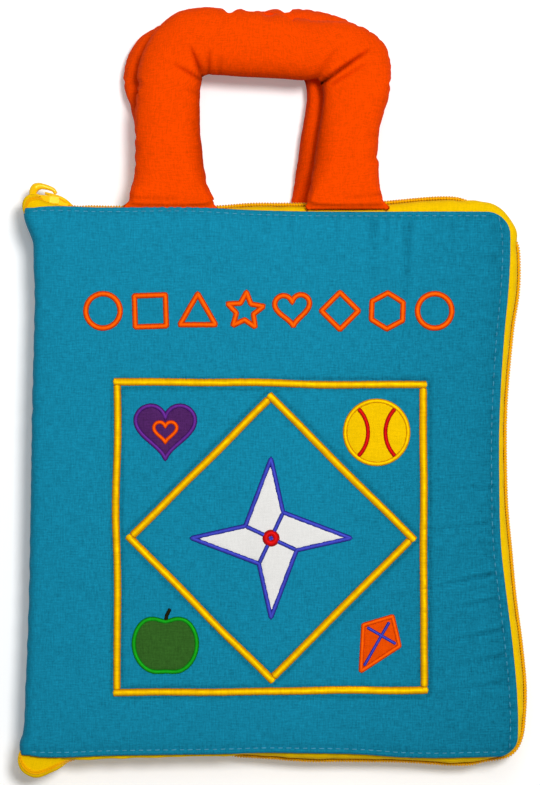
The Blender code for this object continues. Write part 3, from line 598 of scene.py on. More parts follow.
def satin_thread(name, colour, roughness=0.34, spread=0.16, deep=1.0, shade_hue=1.9):
    """Embroidery thread: silky, bright along the band's middle, with painted shade that makes it darker and
    deeper in hue towards the edges, where it turns under.
    """
    graph = Graph(name, colour, roughness)
    thread = graph.attribute("thread").outputs["Fac"]
    edge = graph.attribute("edge").outputs["Fac"]
    place = graph.add("TexCoord").outputs["Object"]
    cloud = graph.stretched_noise(place, (2.5, 2.5, 2.5))
    # Painted shade: towards the band's edges the colour is mixed into a darker, deeper one; shade_hue sets
    # how much deeper.
    share = graph.maths("MULTIPLY", graph.maths("POWER", edge, 1.15), deep)
    bright = linear(colour)
    dark = [0.42 * part ** shade_hue for part in bright]
    mixed = [graph.maths("MULTIPLY_ADD", share, low - high, high) for low, high in zip(dark, bright)]
    tone = graph.add("CombineXYZ", {0: mixed[0], 1: mixed[1], 2: mixed[2]}).outputs[0]
    graph.shade(tone, [(thread, spread), (cloud, 0.2)])
    graph.bump(graph.stretched_noise(place, (0.25, 0.25, 0.25)), 0.04, 0.5)
    graph.set(Specular_IOR_Level=0.7, Specular_Tint=(*bright, 1))
    return graph.material


def moulded(name, colour, roughness, coat=0.0, grain=0.6):
    """Plastic or enamel with faint mottling and tiny unevenness in its gloss."""
    graph = Graph(name, colour, roughness)
    place = graph.add("TexCoord").outputs["Object"]
    cloud = graph.stretched_noise(place, (grain, grain, grain), 3.0)
    graph.shade(linear(colour), [(cloud, 0.14)])
    rough = graph.maths("MULTIPLY_ADD", graph.maths("SUBTRACT", cloud, 0.5), 0.3, roughness)
    graph.bump(cloud, 0.03, 0.4)
    graph.set(Roughness=rough, Coat_Weight=coat, Coat_Roughness=0.15, Specular_Tint=(*linear(colour), 1))
    return graph.material


def make_materials():
    """Every finish on the book, by name."""
    made = {
        "teal": cotton("teal_cotton", TEAL),
        # Teal cotton with a painted light falloff, for the front cover.
        "cover": cotton("cover_cotton", TEAL, faded=True),
        "orange": cotton("orange_cotton", ORANGE, streak=0.38),
        "white": cotton("white_cotton", WHITE, streak=0.12, mottle=0.08),
        "cream": cotton("cream_cotton", CREAM, streak=0.2, mottle=0.12),
        "green": cotton("green_cotton", GREEN),
        "purple": cotton("purple_cotton", PURPLE),
        "orange_patch": cotton("orange_patch_cotton", ORANGE_PATCH, streak=0.4),
        "yellow_patch": cotton("yellow_patch_cotton", TAPE_YELLOW, streak=0.25, mottle=0.15),
        "tape": cotton("zip_tape_cotton", TAPE_YELLOW, pitch=0.6, streak=0.2, mottle=0.12),
        "stitch": satin_thread("pale_teal_thread", PALE_TEAL, 0.6, 0.4, 0.0),
        "coil": moulded("zip_nylon", COIL_YELLOW, 0.42),
        "enamel": moulded("zip_enamel", ENAMEL_YELLOW, 0.3, coat=0.25),
        "red": moulded("red_plastic", RED, 0.28, coat=0.6, grain=4.0),
    }
    threads = {
        "yellow": SATIN_YELLOW, "orange": SATIN_ORANGE, "purple": SATIN_PURPLE, "green": LEAF_GREEN,
        "blue": BLUE_THREAD, "red": RED, "dark": DARK_THREAD,
    }
    for name, colour in threads.items():
        made[f"{name}_satin"] = satin_thread(f"{name}_satin", colour, shade_hue=2.9 if name == "yellow" else 1.9)
    return made


MATERIAL = make_materials()

# Covers


def inset(x, y):
    """How far inside the cover's outline a place lies."""
    from_left = x - left_side(y)
    from_right = right_side(y) - x
    from_top = top_side(x) - y
    from_bottom = y - bottom_side(x)
    depth = np.minimum(np.minimum(from_left, from_right), np.minimum(from_top, from_bottom))
    corners = (
        (from_right, from_top, TOP_RIGHT_RADIUS),
        (from_right, from_bottom, BOTTOM_RIGHT_RADIUS),
        (from_left, from_top, SPINE_CORNER_RADIUS),
        (from_left, from_bottom, SPINE_CORNER_RADIUS),
    )
    for across, along, radius in corners:
        near = (across < radius) & (along < radius)
        depth = np.where(near, radius - np.hypot(radius - across, radius - along), depth)
    return depth


def outline_grid(margin, columns, rows):
    """Grid of places that fills the cover's outline, kept inside it by a margin."""
    u, v = np.meshgrid(np.linspace(0, 1, columns), np.linspace(0, 1, rows))
    x = COVER_LEFT + COVER_WIDTH * u
    y = COVER_LOW + COVER_LENGTH * v
    for _ in range(5):
        low = bottom_side(x) + margin
        y = low + (top_side(x) - margin - low) * v
        low = left_side(y) + margin
        x = low + (right_side(y) - margin - low) * u
    corners = (
        (1, 1, TOP_RIGHT_RADIUS), (1, -1, BOTTOM_RIGHT_RADIUS),
        (-1, 1, SPINE_CORNER_RADIUS), (-1, -1, SPINE_CORNER_RADIUS),
    )
    shift_x = np.zeros_like(x)
    shift_y = np.zeros_like(y)
    for side, end, full in corners:
        radius = full - margin
        if radius <= 0:
            continue
        across = right_side(y) - margin - x if side > 0 else x - left_side(y) - margin
        along = top_side(x) - margin - y if end > 0 else y - bottom_side(x) - margin
        a = np.clip(1 - across / radius, 0, 1)
        b = np.clip(1 - along / radius, 0, 1)
        shift_x += side * radius * a * (np.sqrt(1 - b * b / 2) - 1)
        shift_y += end * radius * b * (np.sqrt(1 - a * a / 2) - 1)
    return x + shift_x, y + shift_y


top_pucker = ripple(11, 5.5)
right_pucker = ripple(12, 7.0)
bottom_pucker = ripple(13, 6.0)
border_pucker = waves(14, 7.0)
slow_bumps = waves(15, 46.0)
small_bumps = waves(16, 16.0)
fine_bumps = waves(17, 6.5)

# Longer folds that run in from the edge: the place along it, width, length, depth and slant.
TOP_FOLDS = (
    (46.5, 2.0, 15, 1.3, 0), (53.0, 0.9, 10, 1.5, 0), (61.5, 1.0, 14, 1.7, 0.03), (64.0, 1.3, 26, 1.8, 0.06),
    (83.3, 1.2, 11, 0.8, 0), (90.2, 0.8, 9, 0.8, 0), (9.0, 1.0, 11, 0.8, 0), (13.5, 0.8, 9, 0.7, 0),
    (30.0, 1.2, 12, 0.6, 0), (-30.0, 1.1, 12, 0.7, 0), (-46.0, 0.9, 10, 0.6, 0), (-71.0, 1.2, 12, 0.5, 0),
)
RIGHT_FOLDS = (
    (-18.9, 0.8, 22, 1.1, 0.1), (-28.0, 0.9, 12, 0.7, 0.1), (-41.9, 0.8, 26, 1.8, 0.22),
    (-53.8, 0.8, 20, 1.4, 0.18), (-68.1, 0.8, 18, 1.6, 0.2), (-80.0, 1.0, 18, 1.1, 0.2),
    (-92.0, 1.2, 20, 0.9, 0.15), (-3.0, 1.0, 12, 0.7, 0), (8.0, 1.0, 12, 0.6, 0),
    (30.0, 1.2, 13, 0.6, 0), (72.0, 1.2, 12, 0.6, -0.1), (102.0, 1.5, 10, 0.8, -0.1),
)


def folds(table, along, inward):
    """Soft valleys that run in from an edge and fade out."""
    total = 0.0
    for place, width, length, depth, slant in table:
        fade = np.clip(inward / 2, 0, 1) * np.exp(-((np.maximum(inward, 0) / length) ** 1.3))
        off = along - place + slant * inward
        valley = bell(off, width) - 0.4 * bell(off - 2.6 * width, 1.8 * width)
        valley = valley - 0.3 * bell(off + 2.6 * width, 1.8 * width)
        total = total - depth * valley * fade
    return total


def stitch_groove(offset, along, width=1.1):
    """Valley along a row of stitches, deepest where the thread goes in."""
    holes = 0.65 - 0.35 * np.cos(2 * math.pi * along / STITCH_PITCH)
    return -0.9 * bell(offset, width) * holes


def design_distance(x, y):
    """Distance to the middle line of the nearest border bar."""
    half = node_half("cover_square_border") - BORDER_WIDTH / 2
    across, up = np.abs(x), np.abs(y - DESIGN_Y)
    outside = np.hypot(np.maximum(across - half, 0), np.maximum(up - half, 0))
    inside = np.minimum(np.maximum(across, up) - half, 0)
    square = np.abs(outside + inside)
    diamond_half = node_half("cover_diamond_border") - BORDER_WIDTH * math.sqrt(0.5)
    diamond = np.abs(across + up - diamond_half) * math.sqrt(0.5)
    return np.minimum(square, diamond)


def node_half(node):
    low, high = node_box(node)
    return (high[0] - low[0]) / 2


def front_height(x, y):
    """Height of the front cover's outer face: padding, stitched valleys, puckers and folds."""
    depth = inset(x, y)
    from_left = x - left_side(y)
    padded = np.minimum(depth + np.where(from_left < 30, 3.0, 0.0) * (depth >= from_left - 0.01), SHOULDER)
    share = 1 - (1 - COVER_EDGE_SHARE) * (1 - np.clip(padded / SHOULDER, 0, 1)) ** 3.2
    thickness = FRONT_HIGH - FRONT_LOW
    z = FRONT_LOW + thickness * share
    settled = np.clip(depth / 8, 0, 1)
    z = z + settled * (0.22 * slow_bumps(x, y) + 0.1 * small_bumps(x, y)) + 0.035 * fine_bumps(x, y) * settled
    from_top = top_side(x) - y
    from_right = right_side(y) - x
    from_bottom = y - bottom_side(x)
    z = z + stitch_groove(from_top - TOP_STITCH_INSET, x)
    z = z + stitch_groove(from_right - RIGHT_STITCH_INSET, y)
    z = z + stitch_groove(from_bottom - BOTTOM_STITCH_INSET, x)
    z = z + 0.3 * top_pucker(x) * np.exp(-np.abs(from_top - TOP_STITCH_INSET) / 6.0)
    z = z + 0.3 * right_pucker(y) * np.exp(-np.abs(from_right - RIGHT_STITCH_INSET) / 8.0)
    z = z + 0.22 * bottom_pucker(x) * np.exp(-np.abs(from_bottom - BOTTOM_STITCH_INSET) / 6.0)
    z = z + folds(TOP_FOLDS, x, from_top - TOP_STITCH_INSET)
    z = z + folds(RIGHT_FOLDS, y, from_right - RIGHT_STITCH_INSET)
    near = design_distance(x, y)
    z = z - 0.45 * np.exp(-near / 3.2) + 0.12 * border_pucker(x, y) * np.exp(-near / 5.0)
    z = z - 0.55 * bell(near - BORDER_WIDTH / 2 - 0.1, 0.8)
    return z


def cover_painted_shade(x, y):
    """How much painted shade darkens the front cover's cloth where it lies in folds and beside stitching,
    from 0 to 1.
    """
    from_top, from_right = top_side(x) - y, right_side(y) - x
    creases = folds(TOP_FOLDS, x, from_top - TOP_STITCH_INSET)
    creases = creases + folds(RIGHT_FOLDS, y, from_right - RIGHT_STITCH_INSET)
    rows = stitch_groove(from_top - TOP_STITCH_INSET, x) + stitch_groove(from_right - RIGHT_STITCH_INSET, y)
    # Painted shade in a line beside the border bars and in a soft band inside the right stitch row.
    beside = 0.3 * bell(design_distance(x, y) - BORDER_WIDTH / 2 - 0.4, 0.8)
    soft = 0.07 * np.exp(-np.abs(from_right - RIGHT_STITCH_INSET - 3) / 3.5)
    return np.clip(-0.16 * creases - 0.2 * rows + beside + soft, -0.1, 0.6) * (inset(x, y) > 1)


def back_height(x, y):
    """Height of the back cover's outer face, flat where it lies on the table."""
    depth = inset(x, y)
    share = 1 - (1 - BACK_EDGE_SHARE) * (1 - np.clip(depth / BACK_SHOULDER, 0, 1)) ** 2
    return np.maximum(BACK_HIGH * (1 - share), 0.0)


def spine_wall(y, share):
    """The spine's outer face: it widens a little from the front cover down, and its seam bulges."""
    return left_side(y) - 1.3 * share - 0.25 * np.sin(math.pi * share) + 0.12 * spine_scallop(y)


spine_scallop = ripple(21, 9.0)


def spine_columns(x, first_y, first_z, up):
    """Columns of a cover's skin round its edge and down the spine: places, flat places and normals."""
    places, flats, normals = [], [], []
    turns = np.linspace(0, math.pi / 2, 8)[1:]
    scallop = 0.12 * spine_scallop(first_y)
    reach = 0.0
    for turn in turns:
        across = left_side(first_y) + ROLL_ACROSS * (1 - math.sin(turn)) + scallop * math.sin(turn)
        down = first_z - up * ROLL_DOWN * (1 - math.cos(turn))
        reach += math.pi / 2 / len(turns) * (ROLL_ACROSS + ROLL_DOWN) / 2
        places.append(np.stack([across, first_y, down], axis=1))
        flats.append(np.stack([x - reach, first_y], axis=1))
        normals.append((-math.sin(turn), 0, up * math.cos(turn)))
    corner_z = first_z - up * ROLL_DOWN
    for share in np.arange(1, SPINE_STEPS + 1) / SPINE_STEPS:
        down = corner_z + (MIDDLE_Z - corner_z) * share
        places.append(np.stack([spine_wall(first_y, share), first_y, down], axis=1))
        flats.append(np.stack([x - reach - np.abs(down - corner_z), first_y], axis=1))
        normals.append((-1, 0, 0))
    return places[::-1], flats[::-1], normals[::-1]


def rolled_edge(line, flat, normals, spine_part, edge_half, face_z, up):
    """Rings that turn a skin's edge under and hem it: their places and flat places."""
    outward = np.c_[-leftward(directions(line[:, :2])), np.zeros(len(line))]
    first_half = np.arange(len(line)) < len(line) / 2
    outward[spine_part & first_half] = (0, -1, 0)
    outward[spine_part & ~first_half] = (0, 1, 0)
    lining_top = np.where(spine_part, -100.0, face_z * up + LINING_CLEARANCE)
    level = np.abs(normals[:, 2:])
    depth = edge_half * (0.2 + 0.8 * level)
    hem = HEM_WIDTH * (0.4 + 0.6 * level)
    rings, flats = [], []
    arc = 0.0
    for turn in math.pi * np.arange(1, ROLL_STEPS + 1) / ROLL_STEPS:
        arc += math.pi / ROLL_STEPS * (EDGE_ROLL + edge_half) / 2
        rings.append(line + outward * EDGE_ROLL * math.sin(turn) - normals * depth * (1 - math.cos(turn)))
        flats.append(flat + outward[:, :2] * arc)
    for share in HEM_SHARES:
        rings.append(line - outward * hem * share - normals * depth * 2)
        flats.append(flat + outward[:, :2] * (arc + HEM_WIDTH * share))
    for ring in rings:
        ring[:, 2] = np.maximum(ring[:, 2] * up, lining_top) * up
    return rings, flats


def cover_shell(outer, face_z, edge_half, up, columns, rows):
    """Skin of one cover and its half of the spine: points, faces, flat places and each point's column.

    outer gives the outer face's height, and edge_half is half the rolled edge's thickness.
    """
    x, y = outline_grid(EDGE_ROLL, columns, rows)
    start = left_side(y[:, :1]) + ROLL_ACROSS
    squeezed = start + (x - x[:, :1]) * EASE_WIDTH / (EASE_WIDTH + ROLL_ACROSS - EDGE_ROLL)
    x = np.where(x < start + EASE_WIDTH, squeezed, x)
    x = np.maximum.accumulate(x, axis=1)
    z = outer(x, y)
    wrap, wrap_flat, wrap_normals = spine_columns(x[:, 0], y[:, 0], z[:, 0], up)
    seam = len(wrap)
    points = np.concatenate([np.stack(wrap, axis=1), np.stack([x, y, z], axis=2)], axis=1)
    flats = np.concatenate([np.stack(wrap_flat, axis=1), np.stack([x, y], axis=2)], axis=1)
    normal = np.array(wrap_normals + [(0, 0, up)] * columns, float)
    total = seam + columns
    labels = np.tile(np.arange(total), rows)

    index = np.arange(rows * total).reshape(rows, total)
    chain = list(index[0, :]) + list(index[1:, -1]) + list(index[-1, -2::-1])
    grid = points.reshape(-1, 3)
    flat_grid = flats.reshape(-1, 2)
    edge_labels = labels[chain]
    rings, ring_flats = rolled_edge(
        grid[chain], flat_grid[chain], normal[edge_labels], edge_labels <= seam, edge_half, face_z, up
    )
    order = np.vstack([chain, len(grid) + np.arange(len(rings) * len(chain)).reshape(len(rings), -1)])
    edge_faces = grid_faces(len(order), len(chain), flip=up > 0)
    faces = grid_faces(rows, total, flip=up < 0)
    faces += [tuple(order.ravel()[list(face)]) for face in edge_faces]
    all_labels = np.concatenate([labels] + [edge_labels] * len(rings))
    return np.vstack([grid] + rings), faces, np.vstack([flat_grid] + ring_flats), all_labels, seam


def split_shell(shell, cover_name, spine_name, material, up_side):
    """The cover's skin and its half of the spine's skin, with one run of normals across their seam."""
    points, faces, flats, labels, seam = shell
    whole = new_mesh("whole", points, faces)
    normals = read_vectors(whole.vertex_normals, "vector")
    bpy.data.meshes.remove(whole)
    made = []
    for name, wanted in ((cover_name, False), (spine_name, True)):
        chosen = [f for f in faces if (max(labels[list(f)]) <= seam) == wanted]
        used = np.unique(np.array(chosen).ravel())
        place = {old: new for new, old in enumerate(used)}
        moved = [[place[k] for k in f] for f in chosen]
        # The front cover's painted shade goes into its 'fold' value.
        sunk = cover_painted_shade(*flats[used].T) if up_side else np.zeros(len(used))
        made.append(make_piece(name, points[used], moved, material, flats[used], normals[used], fold=sunk))
    return made


def make_covers():
    columns = int(round(COVER_WIDTH / CLOTH_STEP))
    rows = int(round(COVER_LENGTH / CLOTH_STEP))
    front_edge = (FRONT_HIGH - FRONT_LOW) * COVER_EDGE_SHARE / 2
    shell = cover_shell(front_height, FRONT_LOW, front_edge, 1, columns, rows)
    names = ("front_cover_skin", "spine_skin_front_half")
    front, front_spine = split_shell(shell, *names, MATERIAL["cover"], True)
    back_edge = BACK_HIGH * BACK_EDGE_SHARE / 2
    shell = cover_shell(back_height, BACK_HIGH, back_edge, -1, columns // 3, rows // 3)
    names = ("back_cover_skin", "spine_skin_back_half")
    back, back_spine = split_shell(shell, *names, MATERIAL["teal"], False)
    return front, front_spine, back, back_spine


def stitch_row(path, ground):
    """Thread dashes along a path: short rounded bars that dip into the cloth at both ends."""
    path = resample(path, STITCH_PITCH)
    random = np.random.default_rng(len(path))
    sides = 6
    turn = 2 * math.pi * np.arange(sides) / sides
    share = np.linspace(-1, 1, 5)[:, None]
    rise = 0.1 + STITCH_RADIUS * 0.6 - 0.42 * np.abs(share) ** 3
    around = STITCH_RADIUS * (1 - 0.5 * np.abs(share) ** 4)
    stitches = []
    for place, way in zip(path, directions(path)):
        tone = random.uniform(0.2, 0.8)
        sway = random.uniform(-0.06, 0.06)
        stretch = STITCH_LENGTH * random.uniform(0.9, 1.08)
        side = np.array([-way[1], way[0]])
        middle = place + way * stretch / 2 * share + side * sway * share
        out = np.cos(turn) * around
        z = ground(middle[:, :1], middle[:, 1:]) + rise + np.sin(turn) * around
        points = np.stack([middle[:, :1] + side[0] * out, middle[:, 1:] + side[1] * out, z], axis=2)
        faces = capped_faces(len(share), sides, flip=True)
        stitches.append((points.reshape(-1, 3), faces, np.full(z.size, tone)))
    return joined(stitches)


def cover_stitch_paths():
    """Rows of stitches near the top, right and bottom edges."""
    x = np.linspace(-108.5, 98.0, 90)
    top = np.stack([x, top_side(x) - TOP_STITCH_INSET], axis=1)
    y = np.linspace(121.0, -121.5, 90)
    right = np.stack([right_side(y) - RIGHT_STITCH_INSET - 2.0 * bell(y - 126, 9), y], axis=1)
    x = np.linspace(106.5, -109.0, 90)
    bottom = np.stack([x, bottom_side(x) + BOTTOM_STITCH_INSET], axis=1)
    return top, right, bottom


def make_topstitch(name, ground):
    points, faces, threads = joined([stitch_row(path, ground) for path in cover_stitch_paths()])
    return make_piece(name, points, faces, MATERIAL["stitch"], thread=threads)


# Embroidery


def satin_band(path, width, height, closed=False, seed=1, ground=front_height, taper=0.0):
    """Band of satin stitches laid across a path, each thread a small ridge with its own length.

    Gives points, faces, each point's thread tone and how near it is to the band's edge.
    """
    path = resample(path, SATIN_PITCH / 2, closed)
    if closed and len(path) % 2:
        path = resample(path, SATIN_PITCH / 2 * len(path) / (len(path) + 1), closed)
    count = len(path)
    random = np.random.default_rng(seed)
    tones = random.uniform(0, 1, count // 2 + 1)
    longer = random.normal(0, 0.02, (count // 2 + 1, 2))
    order = np.arange(count) // 2
    ridge = np.where(np.arange(count) % 2 == 0, 1.0, 0.9)
    side = leftward(directions(path, closed))
    across = np.array([-1.0, -0.9, -0.66, -0.34, 0.0, 0.34, 0.66, 0.9, 1.0])
    half = np.full(count, width / 2)
    if taper and not closed:
        from_end = np.minimum(np.arange(count), np.arange(count)[::-1]) * SATIN_PITCH / 2
        half = half * np.sqrt(np.clip(from_end / taper, 0.12, 1))
    stretch = half[:, None] * np.where(across[None, :] < 0, 1 + longer[order, :1], 1 + longer[order, 1:])
    places = path[:, None, :] + side[:, None, :] * (across[None, :] * stretch)[:, :, None]
    crown = np.sqrt(1 - across ** 2) ** 0.9
    x, y = places[:, :, 0], places[:, :, 1]
    rise = height * crown[None, :] * ridge[:, None] * (half / (width / 2))[:, None] ** 0.5
    top = np.stack([x, y, ground(x, y) + rise - 0.12], axis=2)
    low = top[:, [-1, 4, 0], :].copy()
    low[:, :, 2] = ground(low[:, :, 0], low[:, :, 1]) - 0.35
    rings = np.concatenate([top, low], axis=1)
    columns = rings.shape[1]
    if closed:
        faces = grid_faces(count, columns, wrap_rows=True, wrap_columns=True, flip=True)
    else:
        faces = capped_faces(count, columns, flip=True)
    edge = np.tile(np.abs(np.r_[across, 1, 1, 1]), count)
    return rings.reshape(-1, 3), faces, np.repeat(tones[order], columns), edge


def make_satin(name, bands, material):
    """One piece from several satin bands."""
    points, faces, threads, edges = joined(bands)
    return make_piece(name, points, faces, material, thread=threads, edge=edges)


def straight(start, end):
    return np.array([start, end], float)


def band_outline(outline, width, seed, height=0.9, ground=front_height):
    return satin_band(outline, width, height, closed=True, seed=seed, ground=ground)


def wavy(start, end, seed, sway=0.35):
    """Almost straight line, as hand-guided stitching runs."""
    start, end = np.array(start, float), np.array(end, float)
    length = np.linalg.norm(end - start)
    along = np.linspace(0, length, 60)
    way = (end - start) / length
    off = sway * ripple(seed, 70.0, 5)(along) * np.sin(math.pi * along / length) ** 0.5
    return start + way * along[:, None] + np.array([-way[1], way[0]]) * off[:, None]


def make_borders():
    """Square border of four bars, and the diamond inside it."""
    corners = np.array([at_pixel(*pixel) for pixel in BORDER_PIXELS])
    half = BORDER_WIDTH / 2
    bands = []
    for k in range(4):
        start, end = corners[k], corners[(k + 1) % 4]
        way = (end - start) / np.linalg.norm(end - start)
        reach = half if k % 2 == 0 else -half + 0.4
        bar = wavy(start - way * reach, end + way * reach, 35 + k)
        bands.append(satin_band(bar, BORDER_WIDTH, BORDER_HEIGHT, seed=31 + k, taper=0.5))
    square = make_satin("square_border_satin", bands, MATERIAL["yellow_satin"])
    y = DESIGN_Y
    reach = node_half("cover_diamond_border") - BORDER_WIDTH * math.sqrt(0.5) - 0.9
    corners = [(reach, y), (0, y + reach), (-reach, y), (0, y - reach)]
    bands = []
    for k in range(4):
        start, end = np.array(corners[k]), np.array(corners[(k + 1) % 4])
        way = (end - start) / np.linalg.norm(end - start)
        trim = 1.5 if k % 2 else -1.85
        bar = wavy(start + way * trim, end - way * trim, 45 + k, 0.2)
        bands.append(satin_band(bar, BORDER_WIDTH, BORDER_HEIGHT, seed=41 + k, taper=0.5))
    diamond = make_satin("diamond_border_satin", bands, MATERIAL["yellow_satin"])
    return square, diamond


def inside_outline(points, outline):
    inside = np.zeros(len(points), bool)
    for a, b in zip(outline, np.roll(outline, -1, axis=0)):
        crossing = (a[1] > points[:, 1]) != (b[1] > points[:, 1])
        at = (b[0] - a[0]) * (points[:, 1] - a[1]) / (b[1] - a[1] + 1e-12) + a[0]
        inside ^= crossing & (points[:, 0] < at)
    return inside


def filled(outline, step):
    """Triangles of about one size that fill an outline: points, faces and the outline's point count."""
    edge = resample(outline, step, closed=True)
    low, high = edge.min(0), edge.max(0)
    rows = np.arange(low[1] + step / 2, high[1], step * math.sqrt(0.75))
    lattice = [
        (x, y) for k, y in enumerate(rows) for x in np.arange(low[0] + (k % 2) * step / 2, high[0], step)
    ]
    lattice = np.array(lattice)
    near = np.min(np.linalg.norm(lattice[:, None, :] - edge[None, :, :], axis=2), axis=1)
    lattice = lattice[inside_outline(lattice, edge) & (near > 0.6 * step)]
    places = [Vector(p) for p in edge.tolist() + lattice.tolist()]
    found = delaunay_2d_cdt(places, [], [list(range(len(edge)))], 1, 1e-6)
    points = np.array([tuple(p) for p in found[0]])
    faces = np.array([tuple(f) for f in found[2]])
    a, b, c = (points[faces[:, k]] for k in range(3))
    turned = np.cross(b - a, c - a) < 0
    faces[turned] = faces[turned][:, ::-1]
    on_edge = np.array([any(k < len(edge) for k in source) for source in found[3]])
    return points, faces, on_edge


def edge_distance(points, edge):
    return np.min(np.linalg.norm(points[:, None, :] - edge[None, :, :], axis=2), axis=1)


def patch_height(x, y):
    """Height of a motif's cloth away from its edge."""
    return front_height(x, y) + PATCH_LIFT + PATCH_PUFF


def patch(name, outline, material, ground=front_height, step=1.3):
    """Cloth motif laid on the cover, a little fuller in its middle, with its edge turned down."""
    points, faces, on_edge = filled(outline, step)
    edge = resample(outline, step / 2, closed=True)
    away = edge_distance(points, edge)
    z = ground(points[:, 0], points[:, 1]) + PATCH_LIFT + PATCH_PUFF * (1 - np.exp(-away / 2.5))
    z = np.where(on_edge, z - PATCH_LIFT - 0.1, z)
    return make_piece(name, np.c_[points, z], faces, material, points)


def circle(radius, centre=(0, 0), sides=48, start=0.0, end=2 * math.pi):
    turns = np.linspace(start, end, sides, endpoint=end - start < 2 * math.pi - 1e-6)
    return np.stack([centre[0] + radius * np.cos(turns), centre[1] + radius * np.sin(turns)], axis=1)


def heart_outline(radius, sides=64):
    a = 2 * math.pi * (np.arange(sides) + 0.5) / sides
    x = 16 * np.sin(a) ** 3
    y = 13 * np.cos(a) - 5 * np.cos(2 * a) - 2 * np.cos(3 * a) - np.cos(4 * a)
    return np.stack([-x * radius / 17, (y + 2.5) * radius / 17], axis=1)


def apple_outline(radius, sides=64):
    a = 2 * math.pi * (np.arange(sides) + 0.5) / sides
    top = np.maximum(np.sin(a), 0) ** 8
    under = np.maximum(-np.sin(a), 0) ** 12
    reach = radius * (1 - 0.3 * top - 0.12 * under)
    return np.stack([reach * np.cos(a), reach * np.sin(a)], axis=1)


def turned(points, degrees, centre=(0, 0)):
    a = math.radians(degrees)
    points = np.asarray(points, float)
    x = points[:, 0] * math.cos(a) - points[:, 1] * math.sin(a)
    y = points[:, 0] * math.sin(a) + points[:, 1] * math.cos(a)
    return np.stack([x + centre[0], y + centre[1]], axis=1)


def pinwheel_outline(outer, inner, blades=4, lean_share=0.72):
    places = []
    for index in range(blades):
        angle = 2 * math.pi * index / blades
        lean = angle + 2 * math.pi * lean_share / blades
        places.append((outer * math.cos(angle), outer * math.sin(angle)))
        places.append((inner * math.cos(lean), inner * math.sin(lean)))
    return np.array(places)


def node_middle(node):
    low, high = node_box(node)
    return (low[:2] + high[:2]) / 2


def edged_patch(name, outline, cloth, satin, seed):
    """Cloth patch and the satin round it."""
    base = patch(f"{name}_patch_cloth", outline, MATERIAL[cloth])
    return [base, make_satin(f"{name}_satin", [band_outline(outline, EDGE_STROKE, seed)], MATERIAL[satin])]


def make_pinwheel(place):
    """Four-pointed wheel with a seam in each arm and a ring at the hub."""
    wheel = pinwheel_outline(WHEEL_TIP, WHEEL_WAIST) + place
    base = patch("pinwheel_patch_cloth", wheel, MATERIAL["white"])
    bands = [band_outline(wheel, EDGE_STROKE, 51)]
    for k in range(4):
        tip = turned([(12.6, 0)], 90 * k + 64.8, place)[0]
        bands.append(satin_band(straight(place, tip), 2.0, 0.8, seed=52 + k, ground=patch_height, taper=0.5))
    satin = make_satin("pinwheel_satin", bands, MATERIAL["blue_satin"])
    hub = satin_band(circle(2.3, place), 3.4, 1.2, closed=True, seed=57, ground=patch_height)
    return [base, satin, make_satin("pinwheel_hub_satin", [hub], MATERIAL["red_satin"])]


def make_heart(place):
    """Heart with a small heart stitched on it."""
    made = edged_patch("heart", heart_outline(MOTIF_RADIUS) + place, "purple", "purple_satin", 61)
    small = band_outline(heart_outline(5.6) + place, 1.9, 62, 0.8, patch_height)
    return made + [make_satin("small_heart_satin", [small], MATERIAL["orange_satin"])]


def make_ball(place):
    """Ball with two curved stripes."""
    made = edged_patch("ball", circle(MOTIF_RADIUS, place), "yellow_patch", "yellow_satin", 71)
    arcs = []
    for k, lean in enumerate((-1, 1)):
        centre = place + np.array([lean * 19.5, 0])
        start = math.pi if lean > 0 else 0
        arc = circle(15.5, centre, 32, start - 0.78, start + 0.78)
        arcs.append(satin_band(arc, 2.0, 0.8, seed=72 + k, ground=patch_height, taper=0.5))
    return made + [make_satin("ball_stripes_satin", arcs, MATERIAL["red_satin"])]


def make_apple(place):
    """Apple with a stalk."""
    made = edged_patch("apple", apple_outline(MOTIF_RADIUS) + place, "green", "green_satin", 81)
    stalk = np.array([(0, 9.6), (0.6, 13.0), (2.2, 16.2)]) + place
    stalk = satin_band(stalk, 1.8, 0.8, seed=82, taper=0.4)
    return made + [make_satin("apple_stalk_satin", [stalk], MATERIAL["dark_satin"])]


def make_kite(place):
    """Kite with two crossed spars."""
    corners = np.array([(0.0, 1.0), (-0.66, 0.3), (0.0, -1.0), (0.66, 0.3)]) * MOTIF_RADIUS
    kite = turned(corners, -30, place)
    made = edged_patch("kite", kite, "orange_patch", "orange_satin", 91)
    spars = []
    for k in (0, 1):
        spar = straight(kite[k] * 0.9 + kite[k + 2] * 0.1, kite[k + 2] * 0.9 + kite[k] * 0.1)
        spars.append(satin_band(spar, 1.5, 0.75, seed=92 + k, ground=patch_height, taper=0.4))
    return made + [make_satin("kite_spars_satin", spars, MATERIAL["blue_satin"])]


def make_motifs():
    """The five motifs: one in the middle and one in each corner of the design."""
    middle, off = np.array([0, DESIGN_Y]), node_reach()
    made = make_pinwheel(middle)
    for make, side, end in ((make_heart, -1, 1), (make_ball, 1, 1), (make_apple, -1, -1), (make_kite, 1, -1)):
        made += make(np.array([side * off, DESIGN_Y + end * off]))
    return made


def node_reach():
    """How far each corner motif lies from the design's middle, along x and along y."""
    return float(node_middle("ball_patch")[0])


def star_outline(outer, inner, points=5):
    turns = math.pi / 2 + math.pi * np.arange(2 * points) / points
    reach = np.where(np.arange(2 * points) % 2 == 0, outer, inner)
    return np.stack([reach * np.cos(turns), reach * np.sin(turns)], axis=1)


def regular(sides, radius, start=90.0):
    turns = np.radians(start) + 2 * math.pi * np.arange(sides) / sides
    return np.stack([radius * np.cos(turns), radius * np.sin(turns)], axis=1)


